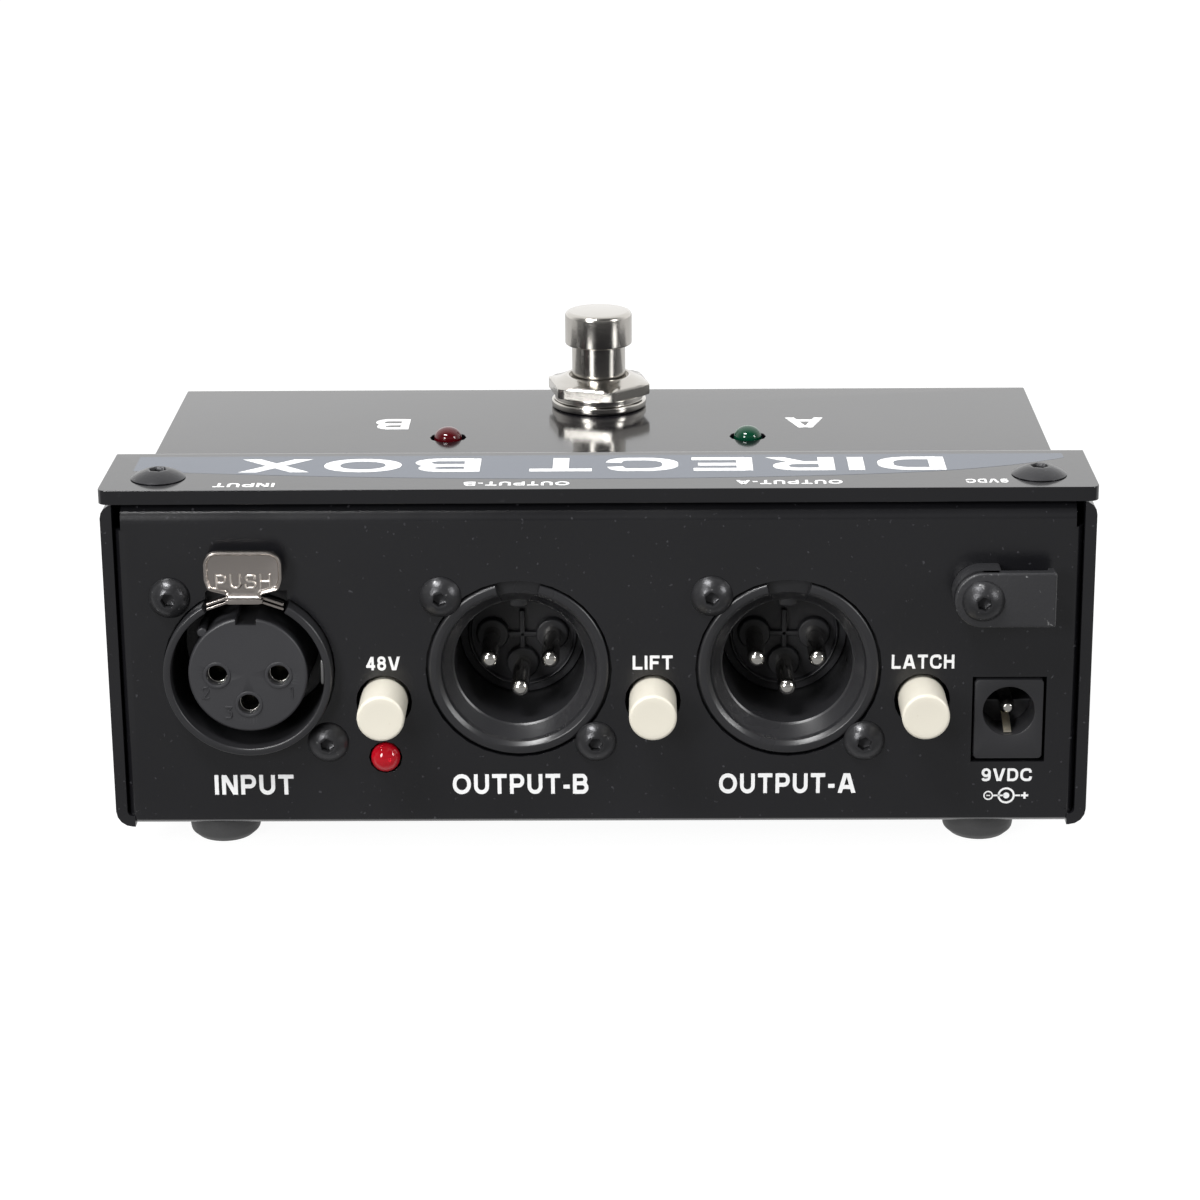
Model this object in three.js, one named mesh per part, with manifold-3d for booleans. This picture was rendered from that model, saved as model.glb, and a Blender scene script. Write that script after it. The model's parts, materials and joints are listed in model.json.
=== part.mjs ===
// Stage direct injection box with a footswitch: a folded steel chassis and cover, one XLR input,
// two XLR outputs, three push buttons, a power jack, a cable clamp and a chromed footswitch.
// Millimetres, +Z up. The connector panel faces -Y. The origin is on the floor, under the middle.
// Inside the group named by `box`, y = 0 is the panel's outer face.
import * as THREE from 'three';
import { mergeVertices } from 'three/addons/utils/BufferGeometryUtils.js';
import Module from 'manifold-3d';

const wasm = await Module();
wasm.setup();

// ---------------------------------------------------------------- driving dimensions

const coverWidth = 128;
const caseDepth = 89;
const roofHeight = 50.4;
const footHeight = 4.2;
const deckDrop = 9.2;
const coverSheet = 1.9;
const coverBend = 2.6;
const coverCornerRadius = 1.2;
const coverOverhang = 0.2;
const stripDepth = 18.2;
const coverSkirtHeight = 5;

const chassisWidth = 127.6;
const chassisSheet = 1.5;
const chassisBend = 2.2;
const panelTopBend = 2.6;
const panelSideBend = 1.6;
const flangeDepth = 9.5;
const frontLipHeight = 16;
const reliefHeight = 45;
const seat = 0.05;

const connectorHeight = 26;
const connectorPitch = 35;
const inputX = -45.4;
const outputBX = inputX + connectorPitch;
const outputAX = outputBX + connectorPitch;
const connectorScrewOffset = 9.95;
const contactCircle = 4;
const flangeSide = 26;
const flangeBack = 4.4;

const buttonOffset = 17.4;
const buttonHeight = 21.6;
const buttonRadius = 3.075;
const buttonReach = 6.65;
const buttonHole = 3.65;

const panelLedHeight = 13.9;
const jackX = 53.3;
const jackHeight = 18.9;
const jackSize = { width: 9, height: 11, depth: 14 };
const jackCutout = { width: 9.6, height: 11.75 };
const clampX = 49.1;
const clampHeight = 36.65;

const coverScrewX = 56.9;
const coverScrewY = 5.8;
const frontScrewX = 50;
const frontScrewHeight = 12;

const footswitchX = -0.8;
const footswitchY = 77.4;
const deckLedY = 59;
const deckLedX = { b: -22.5, a: 21 };
const deckLed = { radius: 2, reach: 1.55, depth: 6, collar: 2.4 };

const boardTop = 11.8;
const footX = 50.5;
const footRadius = 4.75;
const footInset = 8.7;

const deckHeight = roofHeight - deckDrop;
const roofUnder = roofHeight - coverSheet;
const deckUnder = deckHeight - coverSheet;
const chassisTop = roofUnder - seat;
const chassisDeckTop = deckUnder - seat;
const chassisFront = caseDepth - coverSheet - seat;
const chassisHalf = chassisWidth / 2;
const wallInside = chassisHalf - chassisSheet;
const floorTop = footHeight + chassisSheet;

const smallScrew = { head: 2.7, height: 1.7, shank: 1.4, socket: 1.0, length: 7 };
const largeScrew = { head: 3.55, height: 1.35, shank: 1.9, socket: 1.0, length: 8 };
const frontReach = caseDepth + seat + smallScrew.height;

const fine = 32;
const medium = 20;
const coarse = 12;

// ---------------------------------------------------------------- finishes

const finish = (color, roughness, metalness) =>
  new THREE.MeshStandardMaterial({ color, roughness, metalness });
const blackPaint = finish(0x16161a, 0.3, 0.1);
const blackPlastic = finish(0x1c1c1e, 0.5, 0);
const ivoryPlastic = finish(0xe2deca, 0.4, 0);
const blackOxide = finish(0x2a2a2d, 0.45, 0.8);
const nickel = finish(0xc9c4bb, 0.25, 1);
const chrome = finish(0xd8d8da, 0.15, 1);
const springSteel = finish(0x9a9a98, 0.4, 1);
const blackRubber = finish(0x121212, 0.85, 0);
const redLens = finish(0xa01018, 0.2, 0);
const greenLens = finish(0x0f5a30, 0.2, 0);
const boardGreen = finish(0x1d4a2c, 0.5, 0);
const relayPlastic = finish(0xd9d5c8, 0.5, 0);

// ---------------------------------------------------------------- solids

// A closed solid from any closed geometry: shared corners are merged, slivers of no area are
// dropped, and a mesh that is inside out is turned.
function toSolid(geometry) {
  const bare = geometry.clone();
  bare.deleteAttribute('normal');
  bare.deleteAttribute('uv');
  const merged = mergeVertices(bare, 1e-4);
  const places = merged.attributes.position.array;
  const corners = [];
  let volume = 0;
  const a = new THREE.Vector3();
  const b = new THREE.Vector3();
  const c = new THREE.Vector3();
  for (let i = 0; i < merged.index.count; i += 3) {
    const [p, q, r] = [0, 1, 2].map((k) => merged.index.getX(i + k));
    if (p === q || q === r || r === p) continue;
    corners.push(p, q, r);
    a.fromArray(places, 3 * p);
    b.fromArray(places, 3 * q);
    c.fromArray(places, 3 * r);
    volume += a.dot(b.cross(c));
  }
  if (volume < 0) corners.reverse();
  const mesh = new wasm.Mesh({
    numProp: 3,
    vertProperties: Float32Array.from(places),
    triVerts: Uint32Array.from(corners),
  });
  return new wasm.Manifold(mesh);
}

function toGeometry(solid) {
  const mesh = solid.getMesh();
  const geometry = new THREE.BufferGeometry();
  geometry.setAttribute('position', new THREE.BufferAttribute(mesh.vertProperties.slice(), 3));
  geometry.setIndex(new THREE.BufferAttribute(mesh.triVerts.slice(), 1));
  geometry.computeVertexNormals();
  return geometry;
}

function combine(operation, first, others) {
  const result = others.reduce((sum, next) => sum[operation](toSolid(next)), toSolid(first));
  return toGeometry(result);
}

const join = (first, ...others) => combine('add', first, others);
const cut = (first, ...others) => combine('subtract', first, others);
const within = (first, ...others) => combine('intersect', first, others);

// ---------------------------------------------------------------- basic shapes

function block(low, high) {
  const size = high.map((value, k) => value - low[k]);
  const middle = high.map((value, k) => (value + low[k]) / 2);
  return new THREE.BoxGeometry(...size).translate(...middle);
}

// A profile of [radius, distance along the axis] points, turned about an axis along Y or Z.
function turnedY(profile, x = 0, z = 0, sides = medium) {
  const points = profile.map(([r, along]) => new THREE.Vector2(r, along));
  return new THREE.LatheGeometry(points, sides).translate(x, 0, z);
}

function turnedZ(profile, x = 0, y = 0, sides = medium) {
  const points = profile.map(([r, along]) => new THREE.Vector2(r, along));
  return new THREE.LatheGeometry(points, sides).rotateX(Math.PI / 2).translate(x, y, 0);
}

const rodProfile = (radius, start, end) => [[0, start], [radius, start], [radius, end], [0, end]];
const rodY = (radius, start, end, x, z, sides) => turnedY(rodProfile(radius, start, end), x, z, sides);
const rodZ = (radius, start, end, x, y, sides) => turnedZ(rodProfile(radius, start, end), x, y, sides);

function rodX(radius, start, end, y, z, sides = coarse) {
  const length = end - start;
  const rod = new THREE.CylinderGeometry(radius, radius, length, sides).rotateZ(Math.PI / 2);
  return rod.translate(start + length / 2, y, z);
}

function outlineShape(points) {
  return new THREE.Shape(points.map(([u, v]) => new THREE.Vector2(u, v)));
}

// Extrusions of an outline drawn in (y, z), (x, z) or (x, y), between two planes.
function extruded(points, depth) {
  return new THREE.ExtrudeGeometry(outlineShape(points), { depth, bevelEnabled: false });
}

function plateX(points, start, end) {
  const turn = new THREE.Matrix4().makeBasis(
    new THREE.Vector3(0, 1, 0), new THREE.Vector3(0, 0, 1), new THREE.Vector3(1, 0, 0));
  return extruded(points, end - start).applyMatrix4(turn).translate(start, 0, 0);
}

function plateY(points, start, end) {
  return extruded(points, end - start).rotateX(Math.PI / 2).translate(0, end, 0);
}

function plateZ(points, start, end) {
  return extruded(points, end - start).translate(0, 0, start);
}

// ---------------------------------------------------------------- bent sheet

// Rounds each inner corner of a polyline with an arc of its own radius.
function roundedPath(points, radii, steps = 4) {
  const path = [points[0]];
  for (let i = 1; i < points.length - 1; i += 1) {
    const corner = new THREE.Vector2(...points[i]);
    const back = new THREE.Vector2(...points[i - 1]).sub(corner).normalize();
    const ahead = new THREE.Vector2(...points[i + 1]).sub(corner).normalize();
    const halfAngle = Math.acos(THREE.MathUtils.clamp(back.dot(ahead), -1, 1)) / 2;
    const radius = radii[i - 1];
    if (radius < 0.01) {
      path.push(points[i]);
      continue;
    }
    const centre = back.clone().add(ahead).normalize()
      .multiplyScalar(radius / Math.sin(halfAngle)).add(corner);
    const tangent = radius / Math.tan(halfAngle);
    const from = corner.clone().addScaledVector(back, tangent).sub(centre).angle();
    const to = corner.clone().addScaledVector(ahead, tangent).sub(centre).angle();
    const sweep = THREE.MathUtils.euclideanModulo(to - from + Math.PI, 2 * Math.PI) - Math.PI;
    for (let k = 0; k <= steps; k += 1) {
      const angle = from + (sweep * k) / steps;
      path.push([centre.x + radius * Math.cos(angle), centre.y + radius * Math.sin(angle)]);
    }
  }
  path.push(points[points.length - 1]);
  return path;
}

// The outline of a sheet whose one face follows `points`. The thickness lies to the left of the
// path for side = 1 and to the right for side = -1. Each bend has its outside radius in `bends`.
function bentSheet(points, bends, thickness, side) {
  const offset = [];
  const outer = [];
  const inner = [];
  const directions = [];
  for (let i = 0; i < points.length - 1; i += 1) {
    directions.push(new THREE.Vector2(...points[i + 1]).sub(new THREE.Vector2(...points[i])).normalize());
  }
  const normals = directions.map((d) => new THREE.Vector2(-d.y, d.x).multiplyScalar(side * thickness));
  points.forEach((point, i) => {
    const before = normals[Math.max(i - 1, 0)];
    const after = normals[Math.min(i, normals.length - 1)];
    const mean = before.clone().add(after);
    mean.multiplyScalar((2 * thickness * thickness) / mean.lengthSq());
    offset.push([point[0] + mean.x, point[1] + mean.y]);
    if (i > 0 && i < points.length - 1) {
      const turnsToSheet = directions[i - 1].cross(directions[i]) * side > 0;
      outer.push(turnsToSheet ? bends[i - 1] : Math.max(bends[i - 1] - thickness, 0));
      inner.push(turnsToSheet ? Math.max(bends[i - 1] - thickness, 0) : bends[i - 1]);
    }
  });
  return [...roundedPath(points, outer), ...roundedPath(offset, inner).reverse()];
}

// ---------------------------------------------------------------- case

function chassisSection(top) {
  const flangeEdge = 54;
  const path = [
    [-flangeEdge, top], [-chassisHalf, top], [-chassisHalf, footHeight],
    [chassisHalf, footHeight], [chassisHalf, top], [flangeEdge, top],
  ];
  const wallBend = 1.8;
  return bentSheet(path, [wallBend, chassisBend, chassisBend, wallBend], chassisSheet, 1);
}

function chassisWalls() {
  const rampGap = 1.4;
  const rampStart = stripDepth - rampGap;
  const rampEnd = stripDepth + deckDrop - rampGap;
  const rear = plateY(chassisSection(chassisTop), 0, rampStart);
  const front = plateY(chassisSection(chassisDeckTop), rampEnd, chassisFront - 0.8);
  const floor = chassisHalf + 1;
  const ramp = [[rampStart, 0], [rampEnd, 0], [rampEnd, chassisDeckTop], [rampStart, chassisTop]];
  const tallWalls = bentSheet([
    [-chassisHalf, roofHeight], [-chassisHalf, footHeight],
    [chassisHalf, footHeight], [chassisHalf, roofHeight],
  ], [chassisBend, chassisBend], chassisSheet, 1);
  const middle = within(plateY(tallWalls, rampStart, rampEnd), plateX(ramp, -floor, floor));
  const panelRelief = block([-wallInside, -1, reliefHeight], [wallInside, flangeDepth + 0.6, roofHeight]);
  const floorRelief = block([-wallInside + 1, -1, 0], [wallInside - 1, chassisBend + 0.1, floorTop + 1]);
  return join(cut(rear, panelRelief, floorRelief), front, middle);
}

// The panel, floor and front lip are one strip, bent along X.
function chassisStrip() {
  const half = wallInside - 1.1;
  const path = [
    [flangeDepth, chassisTop], [0, chassisTop], [0, footHeight],
    [chassisFront, footHeight], [chassisFront, frontLipHeight],
  ];
  const bends = [panelTopBend, chassisBend, chassisBend];
  return plateX(bentSheet(path, bends, chassisSheet, 1), -half, half);
}

// The panel's side edges are bent back along the walls, up to the corner relief.
function panelEdges() {
  const half = wallInside - seat;
  const returnDepth = 7;
  const path = [[-half, returnDepth], [-half, 0], [half, 0], [half, returnDepth]];
  const bends = [panelSideBend, panelSideBend];
  return plateZ(bentSheet(path, bends, chassisSheet, 1), footHeight + 1, reliefHeight);
}

function panelHoles() {
  const back = chassisSheet + 1;
  const hole = (radius, x, z, sides) => rodY(radius, -1, back, x, z, sides);
  const holes = [
    hole(11.2, inputX, connectorHeight, fine),
    hole(12.1, outputBX, connectorHeight, fine),
    hole(12.1, outputAX, connectorHeight, fine),
    hole(2.2, inputX + buttonOffset, panelLedHeight, coarse),
    hole(1.7, clampX, clampHeight, coarse),
    block([inputX - 5.3, -1, connectorHeight], [inputX + 5.3, back, connectorHeight + 10.9]),
    block([inputX - 3.1, -1, connectorHeight], [inputX + 3.1, back, connectorHeight + 12.4]),
    block([jackX - jackCutout.width / 2, -1, jackHeight - jackCutout.height / 2],
      [jackX + jackCutout.width / 2, back, jackHeight + jackCutout.height / 2]),
  ];
  for (const x of [inputX, outputBX, outputAX]) {
    holes.push(hole(buttonHole, x + buttonOffset, buttonHeight, medium));
    for (const side of [-1, 1]) {
      const offset = side * connectorScrewOffset;
      holes.push(hole(1.6, x + offset, connectorHeight - offset, coarse));
    }
  }
  return holes;
}

function makeChassis() {
  const shell = join(chassisWalls(), chassisStrip());
  const corners = [-1, 1].map((side) => {
    const edge = wallInside - panelSideBend - seat;
    const [low, high] = side < 0 ? [-wallInside, -edge] : [edge, wallInside];
    return block([low, -1, footHeight + chassisBend], [high, panelSideBend, reliefHeight]);
  });
  const flangeHoles = [-1, 1].flatMap((side) => [
    rodZ(2.0, reliefHeight, roofHeight, side * coverScrewX, coverScrewY, coarse),
    rodY(1.6, chassisFront - 4, chassisFront + 1, side * frontScrewX, frontScrewHeight, coarse),
  ]);
  return cut(join(cut(shell, ...corners), panelEdges()), ...panelHoles(), ...flangeHoles);
}

function makeCover() {
  const path = [
    [-coverOverhang, roofHeight], [stripDepth, roofHeight], [stripDepth + deckDrop, deckHeight],
    [caseDepth, deckHeight], [caseDepth, coverSkirtHeight],
  ];
  const sheet = bentSheet(path, [coverBend, coverBend, coverBend], coverSheet, -1);
  const holes = [
    rodZ(6.1, deckUnder - 1, deckHeight + 1, footswitchX, footswitchY, medium),
    rodZ(2.65, deckUnder - 1, deckHeight + 1, deckLedX.a, deckLedY, coarse),
    rodZ(2.65, deckUnder - 1, deckHeight + 1, deckLedX.b, deckLedY, coarse),
  ];
  for (const side of [-1, 1]) {
    holes.push(rodZ(2.0, roofUnder - 1, roofHeight + 1, side * coverScrewX, coverScrewY, coarse));
    holes.push(rodY(1.6, chassisFront - 1, caseDepth + 1, side * frontScrewX, frontScrewHeight, coarse));
  }
  return cut(plateX(sheet, -coverWidth / 2, coverWidth / 2), ...holes, ...coverCorners());
}

// What is trimmed off the roof's two corners over the connector panel, to round them in plan.
function coverCorners() {
  const radius = coverCornerRadius;
  const steps = 4;
  return [-1, 1].map((side) => {
    const centre = [side * (coverWidth / 2 - radius), radius - coverOverhang];
    const arc = Array.from({ length: steps + 1 }, (_, k) => {
      const angle = (k / steps) * (Math.PI / 2);
      return [centre[0] + side * radius * Math.sin(angle), centre[1] - radius * Math.cos(angle)];
    });
    const outer = [side * (coverWidth / 2 + 1), -coverOverhang - 1];
    const points = [...arc, [outer[0], arc[steps][1]], outer, [arc[0][0], outer[1]]];
    return plateZ(points, roofUnder - 1, roofHeight + 1);
  });
}

// ---------------------------------------------------------------- fasteners

// A button head screw along Y, its head's seat at y = 0 and its head towards -Y.
function buttonHeadScrew({ head, height, shank, socket, length }) {
  const profile = [[0, length], [shank, length], [shank, -0.02], [head, -0.02], [head, -0.25 * height]];
  const steps = 3;
  for (let k = 1; k <= steps; k += 1) {
    const angle = (k / steps) * (Math.PI / 2) * 0.8;
    profile.push([head - (head - socket * 1.3) * (1 - Math.cos(angle)) / (1 - Math.cos(Math.PI * 0.4)),
      -height * (0.25 + (0.75 * Math.sin(angle)) / Math.sin(Math.PI * 0.4))]);
  }
  profile.push([0, -height]);
  const key = new THREE.CylinderGeometry(socket * 1.155, socket * 1.155, height * 1.3, 6);
  return cut(turnedY(profile, 0, 0, coarse), key.translate(0, -height, 0));
}

// ---------------------------------------------------------------- XLR connectors

// Contact places around a connector's axis, as [x, z].
const contactPlaces = [[contactCircle, 0], [-contactCircle, 0], [0, -contactCircle]];

function connectorFlange(bore) {
  const half = flangeSide / 2;
  const top = chassisSheet + seat;
  const plate = block([-half, top, -half], [half, flangeBack, half]);
  const holes = [-1, 1].map((side) => rodY(1.45, 0, flangeBack + 1,
    side * connectorScrewOffset, -side * connectorScrewOffset, coarse));
  return cut(plate, rodY(bore, 0, flangeBack + 1, 0, 0, fine), ...holes);
}

const maleCup = { lip: 11.8, mouth: 10, bore: 8.5, outside: 10.2, floor: 15.2, back: 17.6 };

function makeMaleShell() {
  const { lip, mouth, bore, outside, back } = maleCup;
  const profile = [
    [bore, 1.9], [mouth, 0.35], [mouth + 0.35, 0], [lip - 0.35, 0], [lip, 0.35],
    [lip, flangeBack], [outside, flangeBack], [outside, back], [bore, back], [bore, 1.9],
  ];
  const key = block([-1.2, 3, bore - 1.2], [1.2, maleCup.floor - 0.3, bore + 0.5]);
  const latchNotch = block([-2.6, -1, mouth - 1.6], [2.6, 3, lip - 0.6]);
  return cut(join(turnedY(profile, 0, 0, fine), connectorFlange(lip - 0.2), key), latchNotch);
}

function makeMaleInsert() {
  const { bore, floor, back } = maleCup;
  const bosses = contactPlaces.map(([x, z]) => rodY(2, floor - 1.2, floor + 1, x, z, coarse));
  const holes = contactPlaces.map(([x, z]) => rodY(1.28, 0, back + 1, x, z, coarse));
  return cut(join(rodY(bore - 0.1, floor, back, 0, 0, fine), ...bosses), ...holes);
}

function makeMalePin() {
  const radius = 1.2;
  const tip = 3.4;
  return turnedY([
    [0, tip], [0.6, tip + 0.15], [1.02, tip + 0.55], [radius, tip + 1.2],
    [radius, 19], [0.6, 19], [0.6, 22], [0, 22],
  ], 0, 0, coarse);
}

const femaleRing = { front: -2.5, outside: 10.95, inside: 9.95, floor: 12, back: 17 };
const latchPivot = { y: 9, z: 10.3 };
const socketFront = -0.8;

function makeFemaleShell() {
  const { front, outside, inside, floor, back } = femaleRing;
  const throat = 7.9;
  const barrel = 11.6;
  const profile = [
    [throat, floor], [inside, floor], [inside, front + 0.2], [inside + 0.2, front],
    [outside - 0.2, front], [outside, front + 0.2], [outside, flangeBack],
    [barrel, flangeBack], [barrel, back], [throat, back], [throat, floor],
  ];
  const ears = [-1, 1].map((side) => {
    const [low, high] = side < 0 ? [-5, -2.7] : [2.7, 5];
    return block([low, latchPivot.y - 2, 8.9], [high, latchPivot.y + 2, 12]);
  });
  const ringSlot = block([-5.25, front - 1, 8.55], [5.25, chassisSheet + seat, flangeSide]);
  const armSlot = block([-2.8, chassisSheet - 0.5, 8.9], [2.8, 13.5, flangeSide]);
  const pinHole = rodX(0.65, -6, 6, latchPivot.y, latchPivot.z);
  return cut(join(turnedY(profile, 0, 0, fine), connectorFlange(outside - 0.2), ...ears),
    ringSlot, armSlot, pinHole);
}

function makeFemaleInsert() {
  const radius = 7.75;
  const face = -1.9;
  const back = 20;
  const profile = [
    [0, face], [radius - 0.3, face], [radius, face + 0.3], [radius, back], [0, back],
  ];
  const holes = contactPlaces.flatMap(([x, z]) => [
    rodY(1.35, face - 1, 0, x, z, coarse), rodY(1.7, socketFront, back + 1, x, z, coarse),
  ]);
  const keyway = block([-1.35, face - 1, 5.9], [1.35, femaleRing.floor, radius + 1]);
  return cut(turnedY(profile, 0, 0, fine), keyway, ...holes);
}

function makeFemaleContact() {
  const bore = 1.22;
  const outside = 1.62;
  const front = socketFront + 0.1;
  return turnedY([
    [0, 12], [bore, 12], [bore, front], [outside, front], [outside, 19], [0.6, 19], [0.6, 22], [0, 22],
  ], 0, 0, coarse);
}

// The release tab stands in front of the panel. Its arm reaches back through the slot above the
// ring to the cross pin, and its hook reaches down into the channel around the insert.
function makeLatch() {
  const arm = { low: 9.9, high: 10.7, half: 2.45 };
  const tab = { front: -3, back: -2.2, low: 11.4, high: 17.1, half: 5.05 };
  const crown = 2.6;
  const outline = [[-arm.half, arm.low], [arm.half, arm.low], [arm.half, tab.low]];
  const steps = 7;
  for (let k = 0; k <= steps; k += 1) {
    const angle = -Math.PI / 3 + ((Math.PI / 2 + Math.PI / 3) * k) / steps;
    const middle = tab.high - crown;
    outline.push([tab.half * Math.max(Math.cos(angle), 0) ** 0.6,
      middle + crown * Math.sign(Math.sin(angle)) * Math.abs(Math.sin(angle))]);
  }
  const mirrored = outline.slice(2, -1).reverse().map(([x, z]) => [-x, z]);
  const plate = plateY([...outline, ...mirrored], tab.front, tab.back);
  const beam = block([-arm.half, tab.front, arm.low], [arm.half, latchPivot.y, arm.high]);
  const tail = block([-arm.half, latchPivot.y, arm.low], [arm.half, latchPivot.y + 3, arm.high]);
  const hook = block([-1.5, 2, arm.low - 0.9], [1.5, 3.4, arm.low + 0.1]);
  const curl = rodX(1.3, -arm.half, arm.half, latchPivot.y, latchPivot.z);
  const wings = [-1, 1].map((side) => plateY([
    [side * (arm.half - 0.3), arm.low], [side * 5, 9.2],
    [side * 5, 9.8], [side * (arm.half - 0.3), arm.high],
  ], -1.9, -0.9));
  const pinHole = rodX(0.65, -6, 6, latchPivot.y, latchPivot.z);
  return cut(join(plate, beam, tail, hook, curl, ...wings), pinHole);
}

// ---------------------------------------------------------------- buttons and lamps

function makeButtonCap() {
  const edge = 0.35;
  const back = 2.9;
  const profile = [
    [0, -buttonReach], [buttonRadius - edge, -buttonReach], [buttonRadius, -buttonReach + edge],
    [buttonRadius, back], [0, back],
  ];
  return cut(turnedY(profile, 0, 0, 24), block([-1.55, -2.05, -1.55], [1.55, back + 1, 1.55]));
}

const makeButtonStem = () => block([-1.5, -2, -1.5], [1.5, 14, 1.5]);

function makeSwitchBody() {
  const foot = boardTop + seat - buttonHeight;
  const body = block([-3.5, 8.5, foot], [3.5, 24, 3.4]);
  return cut(body, block([-1.7, 8, -1.7], [1.7, 20, 1.7]));
}

// A domed lens on a wider collar, its top at z = reach above the surface at z = 0.
function makeLamp(radius, reach, depth, collar) {
  const profile = [[0, -depth], [collar, -depth], [collar, 1 - depth], [radius, 1 - depth]];
  const steps = 4;
  const shoulder = reach - radius * 0.8;
  for (let k = 0; k < steps; k += 1) {
    const angle = (k / steps) * (Math.PI / 2);
    profile.push([radius * Math.cos(angle), shoulder + radius * 0.8 * Math.sin(angle)]);
  }
  profile.push([0, reach]);
  return turnedZ(profile, 0, 0, coarse);
}

// ---------------------------------------------------------------- power jack and clamp

const jackBore = { radius: 3.35, rise: 1.1, floor: 9.5 };

function makeJackBody() {
  const { width, height, depth } = jackSize;
  const body = block([-width / 2, 0, -height / 2], [width / 2, depth, height / 2]);
  return cut(body, rodY(jackBore.radius, -1, jackBore.floor, 0, jackBore.rise, 24),
    rodY(1.05, 0, depth + 1, 0, jackBore.rise, coarse));
}

function makeJackPin() {
  return turnedY([
    [0, 1.3], [0.55, 1.4], [0.9, 1.8], [1, 2.4], [1, 15], [0, 15],
  ], 0, jackBore.rise, coarse);
}

function makeJackContact() {
  const low = jackBore.rise - jackBore.radius;
  return plateX([
    [1.5, low + 0.35], [5.5, low + 0.75], [9.3, low + 0.35], [9.3, low + 0.65],
    [5.5, low + 1.05], [1.5, low + 0.65],
  ], -0.9, 0.9);
}

const clampSize = { radius: 3.65, reach: 9.3, depth: 4.7, arm: 1.6, boss: 2.4, lip: 2.5 };

// A moulded clip: a boss under the screw, an arm standing off the panel and a lip at its end.
function makeClamp() {
  const { radius, reach, depth, arm, boss, lip } = clampSize;
  const steps = 8;
  const round = [];
  for (let k = 0; k <= steps; k += 1) {
    const angle = Math.PI / 2 + (Math.PI * k) / steps;
    round.push([radius * Math.cos(angle), radius * Math.sin(angle)]);
  }
  const face = plateY([...round, [reach, -radius], [reach, radius]], -depth, arm - depth);
  const foot = plateY([...round, [boss, -radius], [boss, radius]], -depth, -seat);
  const end = block([reach - 1.2, -depth, -radius], [reach, lip - depth, radius]);
  return cut(join(face, foot, end), rodY(1.5, -depth - 1, 1, 0, 0, coarse));
}

// ---------------------------------------------------------------- footswitch

const bushingBore = 4.15;

function makeBushing() {
  const shoulder = deckUnder - seat - 1.5;
  const profile = [
    [bushingBore, shoulder], [7.5, shoulder], [7.5, deckUnder - seat], [6, deckUnder - seat],
    [6, deckHeight + 4.3], [bushingBore, deckHeight + 4.3], [bushingBore, shoulder],
  ];
  return turnedZ(profile, 0, 0, 24);
}

function makeWasher() {
  const low = deckHeight + 0.02;
  return turnedZ([[6.1, low], [7, low], [7, low + 1.2], [6.1, low + 1.2], [6.1, low]], 0, 0, 28);
}

function makeDressNut() {
  const low = deckHeight + 1.25;
  const acrossFlats = 14;
  const hexRadius = acrossFlats / Math.sqrt(3);
  const hexTop = low + 2.1;
  const hex = new THREE.CylinderGeometry(hexRadius, hexRadius, hexTop - low, 6)
    .rotateX(Math.PI / 2).rotateZ(THREE.MathUtils.degToRad(12)).translate(0, 0, (low + hexTop) / 2);
  const round = turnedZ([
    [0, low + 1], [6.6, low + 1], [6.6, hexTop + 0.5], [6.2, hexTop + 1.1], [5.4, hexTop + 1.5],
    [0, hexTop + 1.5],
  ], 0, 0, 28);
  return cut(join(hex, round), rodZ(6.08, low - 1, deckHeight + 4.4, 0, 0, 24),
    rodZ(4.6, low, hexTop + 3, 0, 0, 24));
}

function makePlunger() {
  const stem = 4;
  const capRadius = 5;
  const top = deckHeight + 14.5;
  const capLow = top - 5;
  const edge = 0.6;
  return turnedZ([
    [0, deckUnder + 0.2], [stem, deckUnder + 0.2], [stem, capLow], [capRadius - 0.2, capLow],
    [capRadius, capLow + 0.2], [capRadius, top - edge], [capRadius - 0.2, top - 0.2],
    [capRadius - edge, top], [0, top],
  ], 0, 0, 32);
}

const plungerFoot = deckUnder + 0.2;
const switchCase = { half: 8.6, low: 17, high: deckUnder - 1.6 - seat };
const springSeat = 30;

function makeFootswitchBody() {
  const { half, low, high } = switchCase;
  const lugs = [-1, 0, 1].flatMap((row) => [-1, 1].map((column) =>
    block([column * 4 - 0.9, row * 5 - 0.4, low - 3.5], [column * 4 + 0.9, row * 5 + 0.4, low + 1])));
  return cut(join(block([-half, -half, low], [half, half, high]), ...lugs),
    rodZ(4.6, springSeat - 0.05, high + 1, 0, 0, medium));
}

// A helical wire: a round section carried along a helix with flat-lying ends.
class Helix extends THREE.Curve {
  constructor(radius, low, high, turns) {
    super();
    Object.assign(this, { radius, low, high, turns });
  }

  getPoint(t, target = new THREE.Vector3()) {
    const angle = t * this.turns * 2 * Math.PI;
    const height = this.low + (this.high - this.low) * t;
    return target.set(this.radius * Math.cos(angle), this.radius * Math.sin(angle), height);
  }
}

function makeSpring() {
  const wire = 0.35;
  const helix = new Helix(3.3, springSeat + wire + 0.1, plungerFoot - wire - 0.1, 5);
  const section = new THREE.Shape();
  section.absarc(0, 0, wire, 0, 2 * Math.PI);
  return new THREE.ExtrudeGeometry(section, {
    extrudePath: helix, steps: 42, curveSegments: 3, bevelEnabled: false,
  });
}

// ---------------------------------------------------------------- board, relays, feet

function makeBoard() {
  const thickness = 1.6;
  const halfWidth = 58;
  return block([-halfWidth, 6, boardTop - thickness], [halfWidth, 66, boardTop]);
}

function makeRelay() {
  const low = boardTop + seat;
  const body = [[-7.2, low], [7.2, low], [7.2, low + 9], [6.7, low + 9.5], [-6.7, low + 9.5], [-7.2, low + 9]];
  return plateY(body, -4.7, 4.7);
}

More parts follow.
